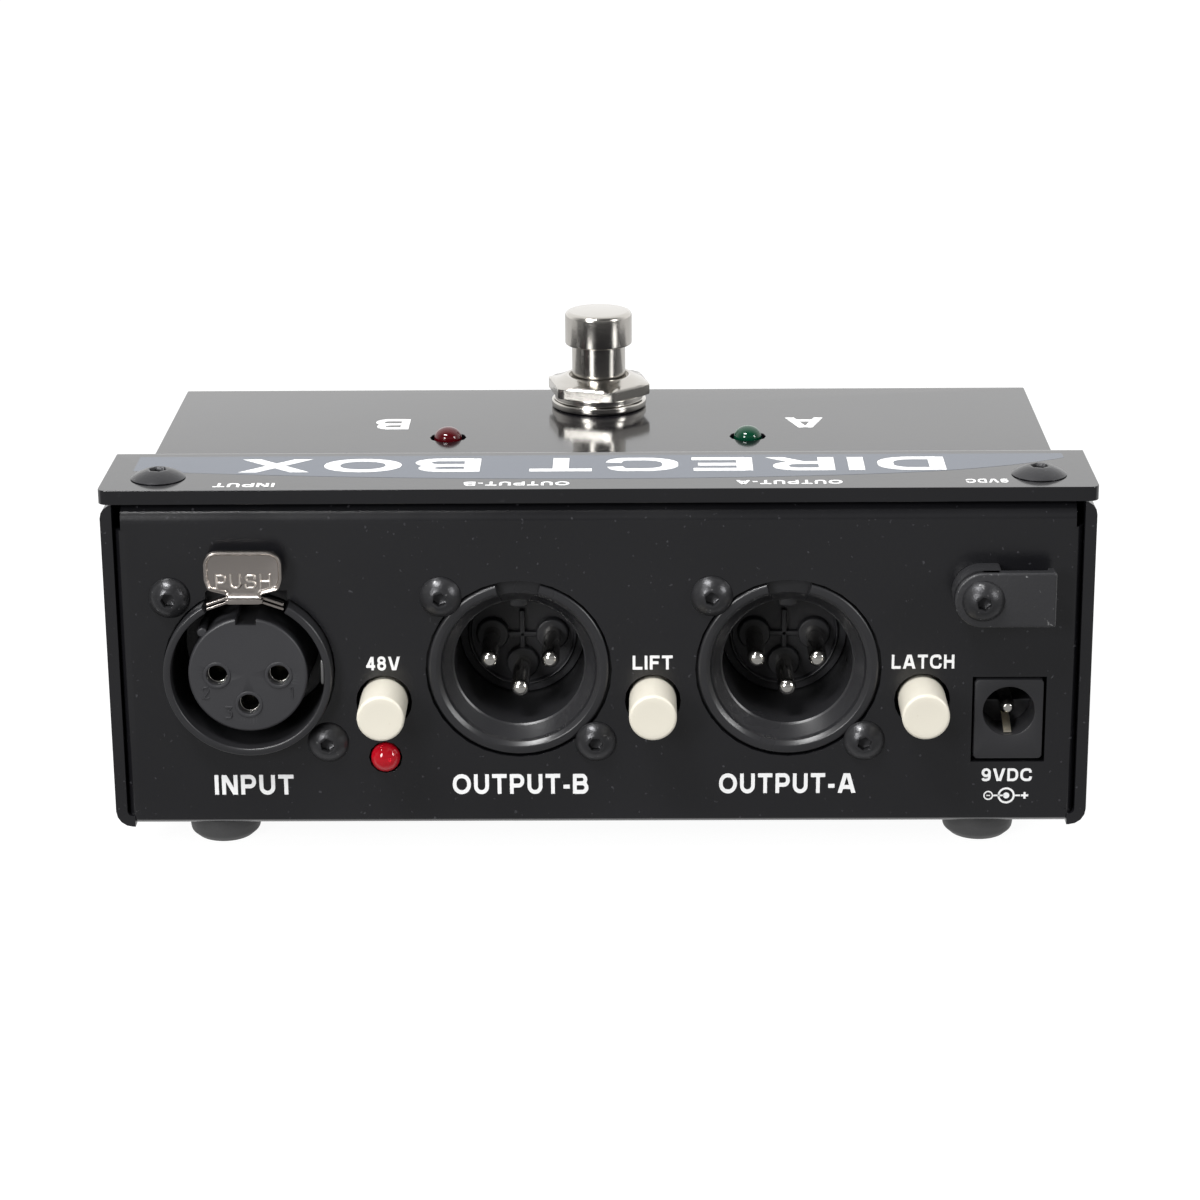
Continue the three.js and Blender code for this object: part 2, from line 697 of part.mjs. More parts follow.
function makeFoot() {
  const radius = footRadius;
  const top = footHeight - 0.02;
  return turnedZ([
    [0, 0], [radius - 1.4, 0], [radius - 0.6, 0.3], [radius - 0.1, 1.1],
    [radius, 1.8], [radius, top], [0, top],
  ], 0, 0, medium);
}

// ---------------------------------------------------------------- assembly

function piece(parent, name, geometry, material, place = [0, 0, 0]) {
  const mesh = new THREE.Mesh(geometry, material);
  mesh.name = name;
  mesh.position.set(...place);
  parent.add(mesh);
  return mesh;
}

function station(parent, x, y, z) {
  const group = new THREE.Group();
  group.position.set(x, y, z);
  parent.add(group);
  return group;
}

function addConnectorScrews(group, prefix) {
  const offset = connectorScrewOffset;
  const screw = buttonHeadScrew(smallScrew);
  piece(group, `${prefix}_screw_upper`, screw, blackOxide, [-offset, 0, offset]);
  piece(group, `${prefix}_screw_lower`, screw, blackOxide, [offset, 0, -offset]);
}

function addInput(parent) {
  const group = station(parent, inputX, 0, connectorHeight);
  piece(group, 'input_shell', makeFemaleShell(), blackPlastic);
  piece(group, 'input_insert', makeFemaleInsert(), blackPlastic);
  contactPlaces.forEach(([x, z], k) => {
    piece(group, `input_contact_${k + 1}`, makeFemaleContact(), nickel, [x, 0, z]);
  });
  piece(group, 'input_latch', makeLatch(), nickel);
  piece(group, 'input_latch_pin', rodX(0.6, -4.9, 4.9, latchPivot.y, latchPivot.z), springSteel);
  addConnectorScrews(group, 'input');
}

function addOutput(parent, prefix, x) {
  const group = station(parent, x, 0, connectorHeight);
  piece(group, `${prefix}_shell`, makeMaleShell(), blackPlastic);
  piece(group, `${prefix}_insert`, makeMaleInsert(), blackPlastic);
  contactPlaces.forEach(([px, pz], k) => {
    piece(group, `${prefix}_pin_${k + 1}`, makeMalePin(), nickel, [px, 0, pz]);
  });
  addConnectorScrews(group, prefix);
}

function addButton(parent, prefix, x) {
  const group = station(parent, x, 0, buttonHeight);
  piece(group, `${prefix}_button_cap`, makeButtonCap(), ivoryPlastic);
  piece(group, `${prefix}_button_stem`, makeButtonStem(), blackPlastic);
  piece(group, `${prefix}_switch_body`, makeSwitchBody(), blackPlastic);
}

function addLamps(parent) {
  const panelLamp = station(parent, inputX + buttonOffset, 0, panelLedHeight);
  const lens = piece(panelLamp, 'phantom_led', makeLamp(1.9, 1.6, 5, 2.2), redLens);
  lens.rotation.x = Math.PI / 2;
  const deck = station(parent, 0, deckLedY, deckHeight);
  const deckLens = makeLamp(deckLed.radius, deckLed.reach, deckLed.depth, deckLed.collar);
  piece(deck, 'deck_led_b', deckLens, redLens, [deckLedX.b, 0, 0]);
  piece(deck, 'deck_led_a', deckLens, greenLens, [deckLedX.a, 0, 0]);
}

function addPowerJack(parent) {
  const group = station(parent, jackX, 0, jackHeight);
  piece(group, 'power_jack_body', makeJackBody(), blackPlastic);
  piece(group, 'power_jack_pin', makeJackPin(), nickel);
  piece(group, 'power_jack_contact', makeJackContact(), nickel);
  const clamp = station(parent, clampX, 0, clampHeight);
  piece(clamp, 'cable_clamp', makeClamp(), blackPlastic);
  piece(clamp, 'cable_clamp_screw', buttonHeadScrew(smallScrew), blackOxide, [0, -clampSize.depth, 0]);
}

function addCaseScrews(parent) {
  const top = buttonHeadScrew(largeScrew).rotateX(-Math.PI / 2);
  const front = buttonHeadScrew(smallScrew).rotateX(Math.PI);
  for (const [side, label] of [[-1, 'left'], [1, 'right']]) {
    piece(parent, `cover_screw_${label}`, top, blackOxide, [side * coverScrewX, coverScrewY, roofHeight]);
    piece(parent, `front_screw_${label}`, front, blackOxide,
      [side * frontScrewX, caseDepth + seat, frontScrewHeight]);
  }
}

function addFootswitch(parent) {
  const group = station(parent, footswitchX, footswitchY, 0);
  piece(group, 'footswitch_body', makeFootswitchBody(), blackPlastic);
  piece(group, 'footswitch_bushing', makeBushing(), chrome);
  piece(group, 'footswitch_washer', makeWasher(), chrome);
  piece(group, 'footswitch_nut', makeDressNut(), chrome);
  piece(group, 'footswitch_plunger', makePlunger(), chrome);
  piece(group, 'footswitch_spring', makeSpring(), springSteel);
}

function addFeet(parent) {
  for (const [sideX, across] of [[-1, 'left'], [1, 'right']]) {
    for (const [y, end] of [[footInset, 'rear'], [caseDepth - footInset, 'front']]) {
      piece(parent, `foot_${end}_${across}`, makeFoot(), blackRubber, [sideX * footX, y, 0]);
    }
  }
}

const assembly = new THREE.Group();
const box = station(assembly, 0, (buttonReach - frontReach) / 2, 0);
piece(box, 'base_chassis', makeChassis(), blackPaint);
piece(box, 'top_cover', makeCover(), blackPaint);
addInput(box);
addOutput(box, 'output_b', outputBX);
addOutput(box, 'output_a', outputAX);
addButton(box, 'phantom', inputX + buttonOffset);
addButton(box, 'lift', outputBX + buttonOffset);
addButton(box, 'latch', outputAX + buttonOffset);
addLamps(box);
addPowerJack(box);
addCaseScrews(box);
addFootswitch(box);
piece(box, 'circuit_board', makeBoard(), boardGreen);
piece(box, 'relay_b', makeRelay(), relayPlastic, [-25, 50, 0]);
piece(box, 'relay_a', makeRelay(), relayPlastic, [25, 50, 0]);
addFeet(box);

export default assembly;
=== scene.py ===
# %% [markdown]
# # A steel stage box with three XLR sockets and a footswitch
# The real object is a folded sheet steel case with a black coat. One long side carries the sockets and
# push buttons, and the low deck carries a chromed footswitch and two lamps. The measured assembly
# arrives as a fixed frame. This lesson gives each visible piece its fine surface and finish.

# %% Load the frame
import json
import math

import bmesh
import bpy
import numpy as np
from mathutils import Matrix, Vector


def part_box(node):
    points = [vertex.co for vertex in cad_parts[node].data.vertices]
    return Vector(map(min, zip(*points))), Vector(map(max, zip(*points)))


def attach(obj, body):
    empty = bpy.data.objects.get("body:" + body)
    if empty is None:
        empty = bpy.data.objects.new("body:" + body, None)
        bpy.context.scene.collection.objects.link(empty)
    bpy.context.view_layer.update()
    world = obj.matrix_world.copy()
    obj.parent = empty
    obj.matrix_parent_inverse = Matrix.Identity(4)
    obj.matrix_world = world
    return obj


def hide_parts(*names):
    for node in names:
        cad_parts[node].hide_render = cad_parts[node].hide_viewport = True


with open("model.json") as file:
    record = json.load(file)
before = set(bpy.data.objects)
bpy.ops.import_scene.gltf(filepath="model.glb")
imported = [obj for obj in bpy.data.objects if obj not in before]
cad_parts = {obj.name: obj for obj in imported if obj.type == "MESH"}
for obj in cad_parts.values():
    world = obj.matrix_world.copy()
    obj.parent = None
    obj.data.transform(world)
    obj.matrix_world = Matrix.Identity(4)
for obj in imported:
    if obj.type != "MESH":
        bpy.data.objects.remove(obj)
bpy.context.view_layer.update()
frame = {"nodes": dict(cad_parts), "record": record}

MM = 0.001
CASE = "case"
print("frame:", len(frame["nodes"]), "pieces")

# %% [markdown]
# ## Places come from the frame
# The places of the pieces are read from the boxes of the measured ones. Their finer shapes, such as
# rims and profiles, and the rows of printed words are set out in millimetres. A face of the
# case has three directions: u to the reader's right, v up, w outwards.

# %% Faces and places
PANEL_FACE = np.array([[1, 0, 0], [0, 0, 1], [0, -1, 0]], float)
FRONT_FACE = np.array([[-1, 0, 0], [0, 0, 1], [0, 1, 0]], float)
TOP_FACE = np.eye(3)
TOP_READ_FROM_FRONT = np.array([[-1, 0, 0], [0, -1, 0], [0, 0, 1]], float)


def corners(node):
    """The lowest and highest corners of a measured piece, as two arrays in millimetres."""
    low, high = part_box(node)
    return np.array(low) / MM, np.array(high) / MM


def middle(node):
    """The middle of a measured piece's box, in millimetres."""
    low, high = corners(node)
    return (low + high) / 2


PANEL_Y = corners("base_chassis")[0][1]
ROOF_Z = corners("top_cover")[1][2]
CASE_HALF = corners("top_cover")[1][0]
FRONT_Y = corners("top_cover")[1][1]
FLOOR_Z = corners("base_chassis")[0][2]
DECK_Z = corners("footswitch_washer")[0][2] - 0.02


def on_panel(node):
    """The point of the panel's outer face that lies on a round piece's axis."""
    x, _, z = middle(node)
    return np.array([x, PANEL_Y, z])


print("panel at y =", round(PANEL_Y, 2), "roof at", round(ROOF_Z, 2), "deck at", round(DECK_Z, 2))

# %% [markdown]
# ## Surfaces from rings
# Almost every piece here is turned, moulded or pressed, so its surface is a stack of closed rings.
# A ring is an outline in u and v at one height w. Joining each ring to the next gives a grid of quads,
# which is a function of two parameters: the place along the stack and the angle round the ring.

# %% Shells: arrays of points and faces


def grid_faces(rows, columns, wrap):
    """Quads between neighbouring rings: row i joins row i + 1, and the last column joins the first."""
    row = np.arange(rows if wrap else rows - 1)[:, None]
    column = np.arange(columns)[None, :]
    below = row * columns
    above = ((row + 1) % rows) * columns
    right = (column + 1) % columns
    return np.stack([below + column, below + right, above + right, above + column], -1).reshape(-1, 4)


def shell(rings, wrap=False):
    """Points and faces of a stack of rings, closed by a flat face at each end unless it wraps round."""
    rings = np.asarray(rings, float)
    rows, columns, _ = rings.shape
    faces = grid_faces(rows, columns, wrap).tolist()
    if not wrap:
        faces.append(list(range(columns)))
        faces.append([(rows - 1) * columns + k for k in range(columns)])
    return rings.reshape(-1, 3), faces


def placed(part, origin, face=TOP_FACE):
    """A shell moved from its own (u, v, w) to the frame: origin + u * right + v * up + w * outwards."""
    points, faces = part
    return np.asarray(origin, float) + points @ face, faces


def merged(*parts):
    """Several shells as one: the points are stacked and each face index is raised by what came before."""
    points, faces, count = [], [], 0
    for part_points, part_faces in parts:
        points.append(part_points)
        faces += [[index + count for index in face] for face in part_faces]
        count += len(part_points)
    return np.concatenate(points), faces


def reordered(part, axes):
    """A shell lying another way: its three axes are taken in the order given."""
    points, faces = part
    return points[:, axes], faces


def mesh_of(name, part, sharp_angle=38):
    """A mesh in metres: doubles merged, faces turned outwards, and edges over sharp_angle kept sharp."""
    points, faces = part
    mesh = bpy.data.meshes.new(name)
    mesh.from_pydata((points * MM).tolist(), [], faces)
    work = bmesh.new()
    work.from_mesh(mesh)
    bmesh.ops.remove_doubles(work, verts=work.verts, dist=2e-7)
    bmesh.ops.recalc_face_normals(work, faces=work.faces)
    work.to_mesh(mesh)
    work.free()
    mesh.polygons.foreach_set("use_smooth", np.ones(len(mesh.polygons), bool))
    mesh.set_sharp_from_angle(angle=math.radians(sharp_angle))
    return mesh


def object_of(name, mesh):
    """A new object at the origin that shows the mesh."""
    piece = bpy.data.objects.new(name, mesh)
    bpy.context.scene.collection.objects.link(piece)
    return piece


def finish_piece(piece, material, body=CASE, replaces=()):
    """The piece takes its material, rides on its body and stands for the measured pieces it replaces."""
    piece.data.materials.clear()
    piece.data.materials.append(material)
    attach(piece, body)
    if replaces:
        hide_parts(*replaces)
    return piece


def make(name, part, material, body=CASE, replaces=(), sharp_angle=38):
    """A finished piece straight from a shell."""
    piece = object_of(name, mesh_of(name, part, sharp_angle))
    return finish_piece(piece, material, body, replaces)


print("faces between 3 rings of 4 points:", len(grid_faces(3, 4, False)))

# %% [markdown]
# ## Outlines and profiles
# A turned piece has a profile of radius against height. A real edge is never a knife edge, so each
# corner of a profile is replaced by a short arc. The outlines of screws' sockets and nuts are hexagons,
# given as radius against angle, so that they join a circle point by point.

# %% Outlines as formulas
ROUND = np.linspace(0, 2 * math.pi, 96, endpoint=False)
COARSE = np.linspace(0, 2 * math.pi, 40, endpoint=False)


def circle(radius, angles=ROUND, centre=(0, 0)):
    """u = radius * cos(angle), v = radius * sin(angle), about a centre."""
    return np.stack([radius * np.cos(angles), radius * np.sin(angles)], -1) + np.asarray(centre, float)


def hexagon(flat, angles=ROUND, turn=0.0):
    """radius = flat / cos(angle from the nearest flat's middle), flat being half the width across."""
    sector = math.pi / 3
    away = np.mod(angles - turn + sector / 2, sector) - sector / 2
    radius = flat / np.cos(away)
    return np.stack([radius * np.cos(angles), radius * np.sin(angles)], -1)


def soft_box(width, height, radius, angles=ROUND):
    """Where a ray at each angle meets a rectangle whose corners are arcs of the given radius."""
    ray = np.stack([np.cos(angles), np.sin(angles)], -1)
    half = np.array([width, height]) / 2
    reach = np.min(half / np.maximum(np.abs(ray), 1e-9), axis=1)
    points = ray * reach[:, None]
    corner = half - radius
    past = np.all(np.abs(points) > corner, axis=1)
    centre = np.sign(ray) * corner
    along = np.sum(ray * centre, axis=1)
    inside = np.maximum(along**2 - np.sum(centre**2, axis=1) + radius**2, 0)
    return np.where(past[:, None], ray * (along + np.sqrt(inside))[:, None], points)


def softened(points, radius, steps=4, closed=False):
    """A path whose corners are arcs, each a rational curve tangent to both sides of its corner."""
    points = np.asarray(points, float)
    radii = np.broadcast_to(radius, len(points))
    path = []
    for k, corner in enumerate(points):
        if not closed and k in (0, len(points) - 1):
            path.append(corner[None])
            continue
        back = points[k - 1] - corner
        ahead = points[(k + 1) % len(points)] - corner
        back_length, ahead_length = np.linalg.norm(back), np.linalg.norm(ahead)
        back, ahead = back / back_length, ahead / ahead_length
        half = math.acos(np.clip(back @ ahead, -1, 1)) / 2
        cut = min(radii[k] / math.tan(half), 0.49 * back_length, 0.49 * ahead_length)
        if cut < 1e-4:
            path.append(corner[None])
            continue
        t = np.linspace(0, 1, steps + 1)[:, None]
        start, end = corner + back * cut, corner + ahead * cut
        weight = math.sin(half)
        blend = (1 - t) ** 2 + 2 * weight * t * (1 - t) + t**2
        path.append(((1 - t) ** 2 * start + 2 * weight * t * (1 - t) * corner + t**2 * end) / blend)
    return np.concatenate(path)


def ring(outline, height):
    """An outline lifted to one height."""
    return np.concatenate([outline, np.full((len(outline), 1), float(height))], axis=1)


def turned(profile, angles=ROUND, wrap=False):
    """Each (radius, height) of the profile is carried round the axis at every angle."""
    profile = np.asarray(profile, float)
    radius, height = profile[:, :1], profile[:, 1:]
    u = radius * np.cos(angles)
    v = radius * np.sin(angles)
    w = height + np.zeros_like(u)
    return shell(np.stack([u, v, w], -1), wrap)


def inset(outline, distance):
    """A closed outline, run anticlockwise, moved inwards along its own normals."""
    tangent = np.roll(outline, -1, axis=0) - np.roll(outline, 1, axis=0)
    tangent = tangent / np.linalg.norm(tangent, axis=1)[:, None]
    return outline + distance * np.stack([-tangent[:, 1], tangent[:, 0]], -1)


def slab(outline, low, high, edge=0.2, steps=3):
    """A plate with quarter round rims: inset = edge * (1 - sin a), rise = edge * (1 - cos a)."""
    angles = np.linspace(0, math.pi / 2, steps + 1)
    rim = [(edge * (1 - math.sin(a)), edge * (1 - math.cos(a))) for a in angles]
    lower = [ring(inset(outline, inwards), low + rise) for inwards, rise in rim]
    upper = [ring(inset(outline, inwards), high - rise) for inwards, rise in reversed(rim)]
    return shell(lower + upper)


def brick(low, high, edge=0.15):
    """A block between two corners with rounded rims."""
    low, high = np.asarray(low, float), np.asarray(high, float)
    size = high - low
    outline = soft_box(size[0], size[1], edge, np.linspace(0, 2 * math.pi, 64, endpoint=False))
    return slab(outline + (low[:2] + high[:2]) / 2, low[2], high[2], edge)


print("a hexagon 2 across flats is", round(float(np.ptp(hexagon(1.0)[:, 0])), 3), "wide")

# %% [markdown]
# ## Shared surface effects
# Real paint and plastic are never one flat value. Two node groups are shared by all finishes: one gives
# a fine grain, with a height for the bump and a roughness that wanders, and the other tints a colour
# with slow cloudy variation and small pale specks of dust.

# %% Node groups for grain and dust


def new_group(name, sockets):
    """An empty shader node group with named inputs and outputs."""
    group = bpy.data.node_groups.new(name, "ShaderNodeTree")
    for label, direction, kind, value in sockets:
        socket = group.interface.new_socket(name=label, in_out=direction, socket_type=kind)
        if value is not None:
            socket.default_value = value
    return group, group.nodes.new("NodeGroupInput"), group.nodes.new("NodeGroupOutput")


def noise(tree, vector, scale, detail=2.0):
    """A Noise Texture node. scale may be a number or a socket."""
    node = tree.nodes.new("ShaderNodeTexNoise")
    node.inputs["Detail"].default_value = detail
    tree.links.new(vector, node.inputs["Vector"])
    if isinstance(scale, (int, float)):
        node.inputs["Scale"].default_value = scale
    else:
        tree.links.new(scale, node.inputs["Scale"])
    return node


def remap(tree, value, low, high, to_low, to_high):
    """A Map Range node. to_low and to_high may be numbers or sockets."""
    node = tree.nodes.new("ShaderNodeMapRange")
    tree.links.new(value, node.inputs["Value"])
    node.inputs["From Min"].default_value = low
    node.inputs["From Max"].default_value = high
    for label, target in (("To Min", to_low), ("To Max", to_high)):
        if isinstance(target, (int, float)):
            node.inputs[label].default_value = target
        else:
            tree.links.new(target, node.inputs[label])
    return node.outputs["Result"]


def make_grain_group():
    """Height = fine noise, roughness = a blend of Smooth and Rough that follows slow noise."""
    group, inputs, outputs = new_group("grain", [
        ("Vector", "INPUT", "NodeSocketVector", None),
        ("Scale", "INPUT", "NodeSocketFloat", 900.0),
        ("Smooth", "INPUT", "NodeSocketFloat", 0.2),
        ("Rough", "INPUT", "NodeSocketFloat", 0.35),
        ("Height", "OUTPUT", "NodeSocketFloat", None),
        ("Roughness", "OUTPUT", "NodeSocketFloat", None),
    ])
    fine = noise(group, inputs.outputs["Vector"], inputs.outputs["Scale"], 3.0)
    cloudy = noise(group, inputs.outputs["Vector"], 70.0, 3.0)
    smooth, rough = inputs.outputs["Smooth"], inputs.outputs["Rough"]
    roughness = remap(group, cloudy.outputs["Fac"], 0.3, 0.7, smooth, rough)
    group.links.new(fine.outputs["Fac"], outputs.inputs["Height"])
    group.links.new(roughness, outputs.inputs["Roughness"])
    return group


def make_dust_group():
    """Color, blended towards Cloud Color by slow noise and towards Speck Color where fine noise peaks."""
    group, inputs, outputs = new_group("dust", [
        ("Vector", "INPUT", "NodeSocketVector", None),
        ("Color", "INPUT", "NodeSocketColor", (0.5, 0.5, 0.5, 1)),
        ("Cloud Color", "INPUT", "NodeSocketColor", (0.5, 0.5, 0.5, 1)),
        ("Speck Color", "INPUT", "NodeSocketColor", (0.5, 0.5, 0.5, 1)),
        ("Speck Amount", "INPUT", "NodeSocketFloat", 0.2),
        ("Color", "OUTPUT", "NodeSocketColor", None),
    ])
    cloud = noise(group, inputs.outputs["Vector"], 45.0, 4.0)
    specks = noise(group, inputs.outputs["Vector"], 1400.0, 1.0)
    speck_mask = remap(group, specks.outputs["Fac"], 0.72, 0.78, 0.0, inputs.outputs["Speck Amount"])
    clouded = group.nodes.new("ShaderNodeMix")
    clouded.data_type = "RGBA"
    group.links.new(cloud.outputs["Fac"], clouded.inputs["Factor"])
    group.links.new(inputs.outputs["Color"], clouded.inputs["A"])
    group.links.new(inputs.outputs["Cloud Color"], clouded.inputs["B"])
    dusted = group.nodes.new("ShaderNodeMix")
    dusted.data_type = "RGBA"
    group.links.new(speck_mask, dusted.inputs["Factor"])
    group.links.new(clouded.outputs["Result"], dusted.inputs["A"])
    group.links.new(inputs.outputs["Speck Color"], dusted.inputs["B"])
    group.links.new(dusted.outputs["Result"], outputs.inputs["Color"])
    return group


GRAIN = make_grain_group()
DUST = make_dust_group()
print("node groups:", GRAIN.name, DUST.name)

# %% [markdown]
# ## Finishes
# Each finish is a Principled shader. The groups drive only what varies over the surface: base colour,
# roughness and the bump's height. What is the same everywhere is set on the shader's own socket.

# %% Build the finishes


def linked_group(tree, group, vector, values):
    """A shared group placed in a material, reading the vector given, with its other inputs set."""
    node = tree.nodes.new("ShaderNodeGroup")
    node.node_tree = group
    tree.links.new(vector, node.inputs["Vector"])
    for label, value in values.items():
        node.inputs[label].default_value = value
    return node


def finish(name, color, cloud, roughness, grain, bump, stretch=(1, 1, 1), speck=None, speck_amount=0.0,
           **sockets):
    """A Principled finish: clouded colour, wandering roughness and a grain of the given scale and depth."""
    material = bpy.data.materials.new(name)
    material.use_nodes = True
    tree = material.node_tree
    shader = tree.nodes["Principled BSDF"]
    point = tree.nodes.new("ShaderNodeTexCoord").outputs["Object"]
    mapping = tree.nodes.new("ShaderNodeMapping")
    mapping.inputs["Scale"].default_value = stretch
    tree.links.new(point, mapping.inputs["Vector"])
    surface = linked_group(tree, GRAIN, mapping.outputs["Vector"],
                           {"Scale": grain, "Smooth": roughness[0], "Rough": roughness[1]})
    tint = linked_group(tree, DUST, point, {
        "Color": (*color, 1),
        "Cloud Color": (*cloud, 1),
        "Speck Color": (*(speck or cloud), 1),
        "Speck Amount": speck_amount,
    })
    relief = tree.nodes.new("ShaderNodeBump")
    relief.inputs["Strength"].default_value = 1.0
    relief.inputs["Distance"].default_value = bump * MM
    tree.links.new(surface.outputs["Height"], relief.inputs["Height"])
    tree.links.new(relief.outputs["Normal"], shader.inputs["Normal"])
    tree.links.new(surface.outputs["Roughness"], shader.inputs["Roughness"])
    tree.links.new(tint.outputs["Color"], shader.inputs["Base Color"])
    for label, value in sockets.items():
        shader.inputs[label.replace("_", " ")].default_value = value
    material.diffuse_color = (*color, 1)
    return material


# name, colour, cloud colour, roughness from and to, grains per metre, bump depth in millimetres
PAINT = finish(
    "gloss_black_paint", (0.004, 0.004, 0.005), (0.006, 0.006, 0.0075), (0.09, 0.14), 1100, 0.005,
    speck=(0.05, 0.05, 0.055), speck_amount=0.25, IOR=1.58)
SATIN_PAINT = finish(
    "satin_black_paint", (0.005, 0.005, 0.006), (0.008, 0.008, 0.0095), (0.2, 0.27), 1700, 0.012,
    speck=(0.09, 0.09, 0.1), speck_amount=0.35, IOR=1.56)
CONNECTOR = finish(
    "connector_nylon", (0.014, 0.014, 0.0155), (0.021, 0.021, 0.023), (0.25, 0.37), 4200, 0.012)
INSERT = finish("insert_plastic", (0.021, 0.021, 0.0235), (0.03, 0.03, 0.033), (0.36, 0.5), 5200, 0.014)
SWITCH = finish("switch_plastic", (0.03, 0.03, 0.033), (0.045, 0.045, 0.048), (0.4, 0.5), 2400, 0.01)
JACK = finish("jack_plastic", (0.016, 0.016, 0.018), (0.024, 0.024, 0.026), (0.28, 0.4), 3600, 0.014)
CLAMP = finish(
    "clamp_nylon", (0.018, 0.018, 0.02), (0.03, 0.03, 0.032), (0.28, 0.42), 2600, 0.05,
    speck=(0.3, 0.3, 0.3), speck_amount=0.5)
IVORY = finish(
    "ivory_plastic", (0.70, 0.665, 0.575), (0.66, 0.625, 0.53), (0.28, 0.4), 2600, 0.006,
    speck=(0.5, 0.45, 0.35), speck_amount=0.25)
RELAY = finish("relay_plastic", (0.7, 0.67, 0.57), (0.64, 0.6, 0.5), (0.35, 0.5), 1800, 0.01)
BOARD = finish("solder_mask", (0.02, 0.12, 0.05), (0.03, 0.16, 0.07), (0.25, 0.4), 1500, 0.01)
RUBBER = finish("foot_rubber", (0.03, 0.03, 0.031), (0.045, 0.045, 0.046), (0.45, 0.6), 2400, 0.04)
CONTACT = finish(
    "silver_contact", (0.80, 0.78, 0.74), (0.7, 0.68, 0.64), (0.12, 0.24), 2600, 0.003, Metallic=1.0)
LEAF = finish(
    "tinned_leaf", (0.86, 0.80, 0.66), (0.8, 0.74, 0.6), (0.35, 0.45), 2600, 0.003, Metallic=1.0)
LATCH = finish(
    "nickel_stamping", (0.55, 0.50, 0.465), (0.42, 0.385, 0.36), (0.2, 0.3), 3000, 0.01, Metallic=1.0)
# A paler copy of the tab's nickel for its raised word: painted highlight standing in for the glint on the
# letters.
NICKEL_PAINTED_HIGHLIGHT = finish(
    "nickel_painted_highlight", (0.93, 0.89, 0.84), (0.8, 0.76, 0.72), (0.3, 0.42), 3000, 0.006, Metallic=1.0)
SPRING = finish(
    "spring_wire", (0.45, 0.45, 0.45), (0.35, 0.35, 0.35), (0.25, 0.4), 2500, 0.004, Metallic=1.0)
OXIDE = finish(
    "black_oxide", (0.02, 0.02, 0.022), (0.06, 0.06, 0.063), (0.24, 0.4), 2600, 0.03,
    speck=(0.3, 0.3, 0.3), speck_amount=0.5, Metallic=0.6)
CHROME = finish(
    "satin_chrome", (0.53, 0.51, 0.475), (0.47, 0.45, 0.42), (0.15, 0.21), 1800, 0.008,
    stretch=(0.3, 0.3, 8), Metallic=1.0)
WHITE_INK = finish("white_ink", (0.82, 0.82, 0.82), (0.7, 0.7, 0.7), (0.3, 0.45), 3000, 0.006)
BAND_INK = finish(
    "blue_grey_ink", (0.042, 0.055, 0.082), (0.036, 0.048, 0.072), (0.1, 0.16), 1100, 0.004)
RED_LENS = finish(
    "red_epoxy", (0.62, 0.006, 0.02), (0.5, 0.003, 0.012), (0.05, 0.09), 1500, 0.002,
    Transmission_Weight=0.25, IOR=1.5)
# The same red epoxy as the panel's lamp, made darker for the lamp on the deck: painted shade.
RED_LENS_PAINTED_SHADE = finish(
    "red_epoxy_painted_shade", (0.10, 0.002, 0.006), (0.07, 0.002, 0.004), (0.05, 0.09), 1500, 0.002,
    Transmission_Weight=0.3, IOR=1.5)
GREEN_LENS = finish(
    "green_epoxy", (0.002, 0.065, 0.03), (0.002, 0.05, 0.022), (0.05, 0.09), 1500, 0.002,
    Transmission_Weight=0.3, IOR=1.5)
print("finishes:", len(bpy.data.materials))

# %% [markdown]
# ## The case
# The tray and the cover are cut and folded from sheet, then coated. The coat rounds every cut
# edge a little, and those small rounds catch the light. The measured sheets already have their bends
# and punched holes, so each is copied, its flat facets are joined, and a Bevel modifier rounds its edges.
# The cover's coat is glossy, and the tray's is a duller satin.

# %% Coated sheet steel


def flatten_shading(piece):
    """Each corner's shading normal is an average weighted by face area, so large flat faces look flat."""
    weighted = piece.modifiers.new("flat_faces", "WEIGHTED_NORMAL")
    weighted.mode = "FACE_AREA"
    weighted.weight = 100
    weighted.keep_sharp = True


def coated_copy(node, material, edge):
    """A copy of a measured piece with its facets joined into flat faces and its edges rounded."""
    source = frame["nodes"][node]
    mesh = source.data.copy()
    mesh.name = node + "_coated"
    work = bmesh.new()
    work.from_mesh(mesh)
    bmesh.ops.remove_doubles(work, verts=work.verts, dist=2e-6)
    bmesh.ops.dissolve_limit(work, angle_limit=math.radians(0.5), verts=work.verts, edges=work.edges)
    work.to_mesh(mesh)
    work.free()
    mesh.polygons.foreach_set("use_smooth", np.ones(len(mesh.polygons), bool))
    mesh.set_sharp_from_angle(angle=math.radians(30))
    piece = object_of(mesh.name, mesh)
    bevel = piece.modifiers.new("coat_edge", "BEVEL")
    bevel.width = edge * MM
    bevel.segments = 3
    bevel.limit_method = "ANGLE"
    bevel.angle_limit = math.radians(40)
    flatten_shading(piece)
    return finish_piece(piece, material, replaces=(node,))


coated_copy("base_chassis", SATIN_PAINT, 0.22)
coated_copy("top_cover", PAINT, 0.42)
print("case:", len(bpy.data.meshes["top_cover_coated"].polygons), "cover faces")

# %% [markdown]
# ## Button head screws
# Black oxide screws with a hexagonal socket hold the connectors, the clamp and the cover. The head is
# turned, and the socket is broached, so one stack of rings does it all: round rings up the shank and
# over the dome, then hexagonal rings down into the socket.

# %% Screws


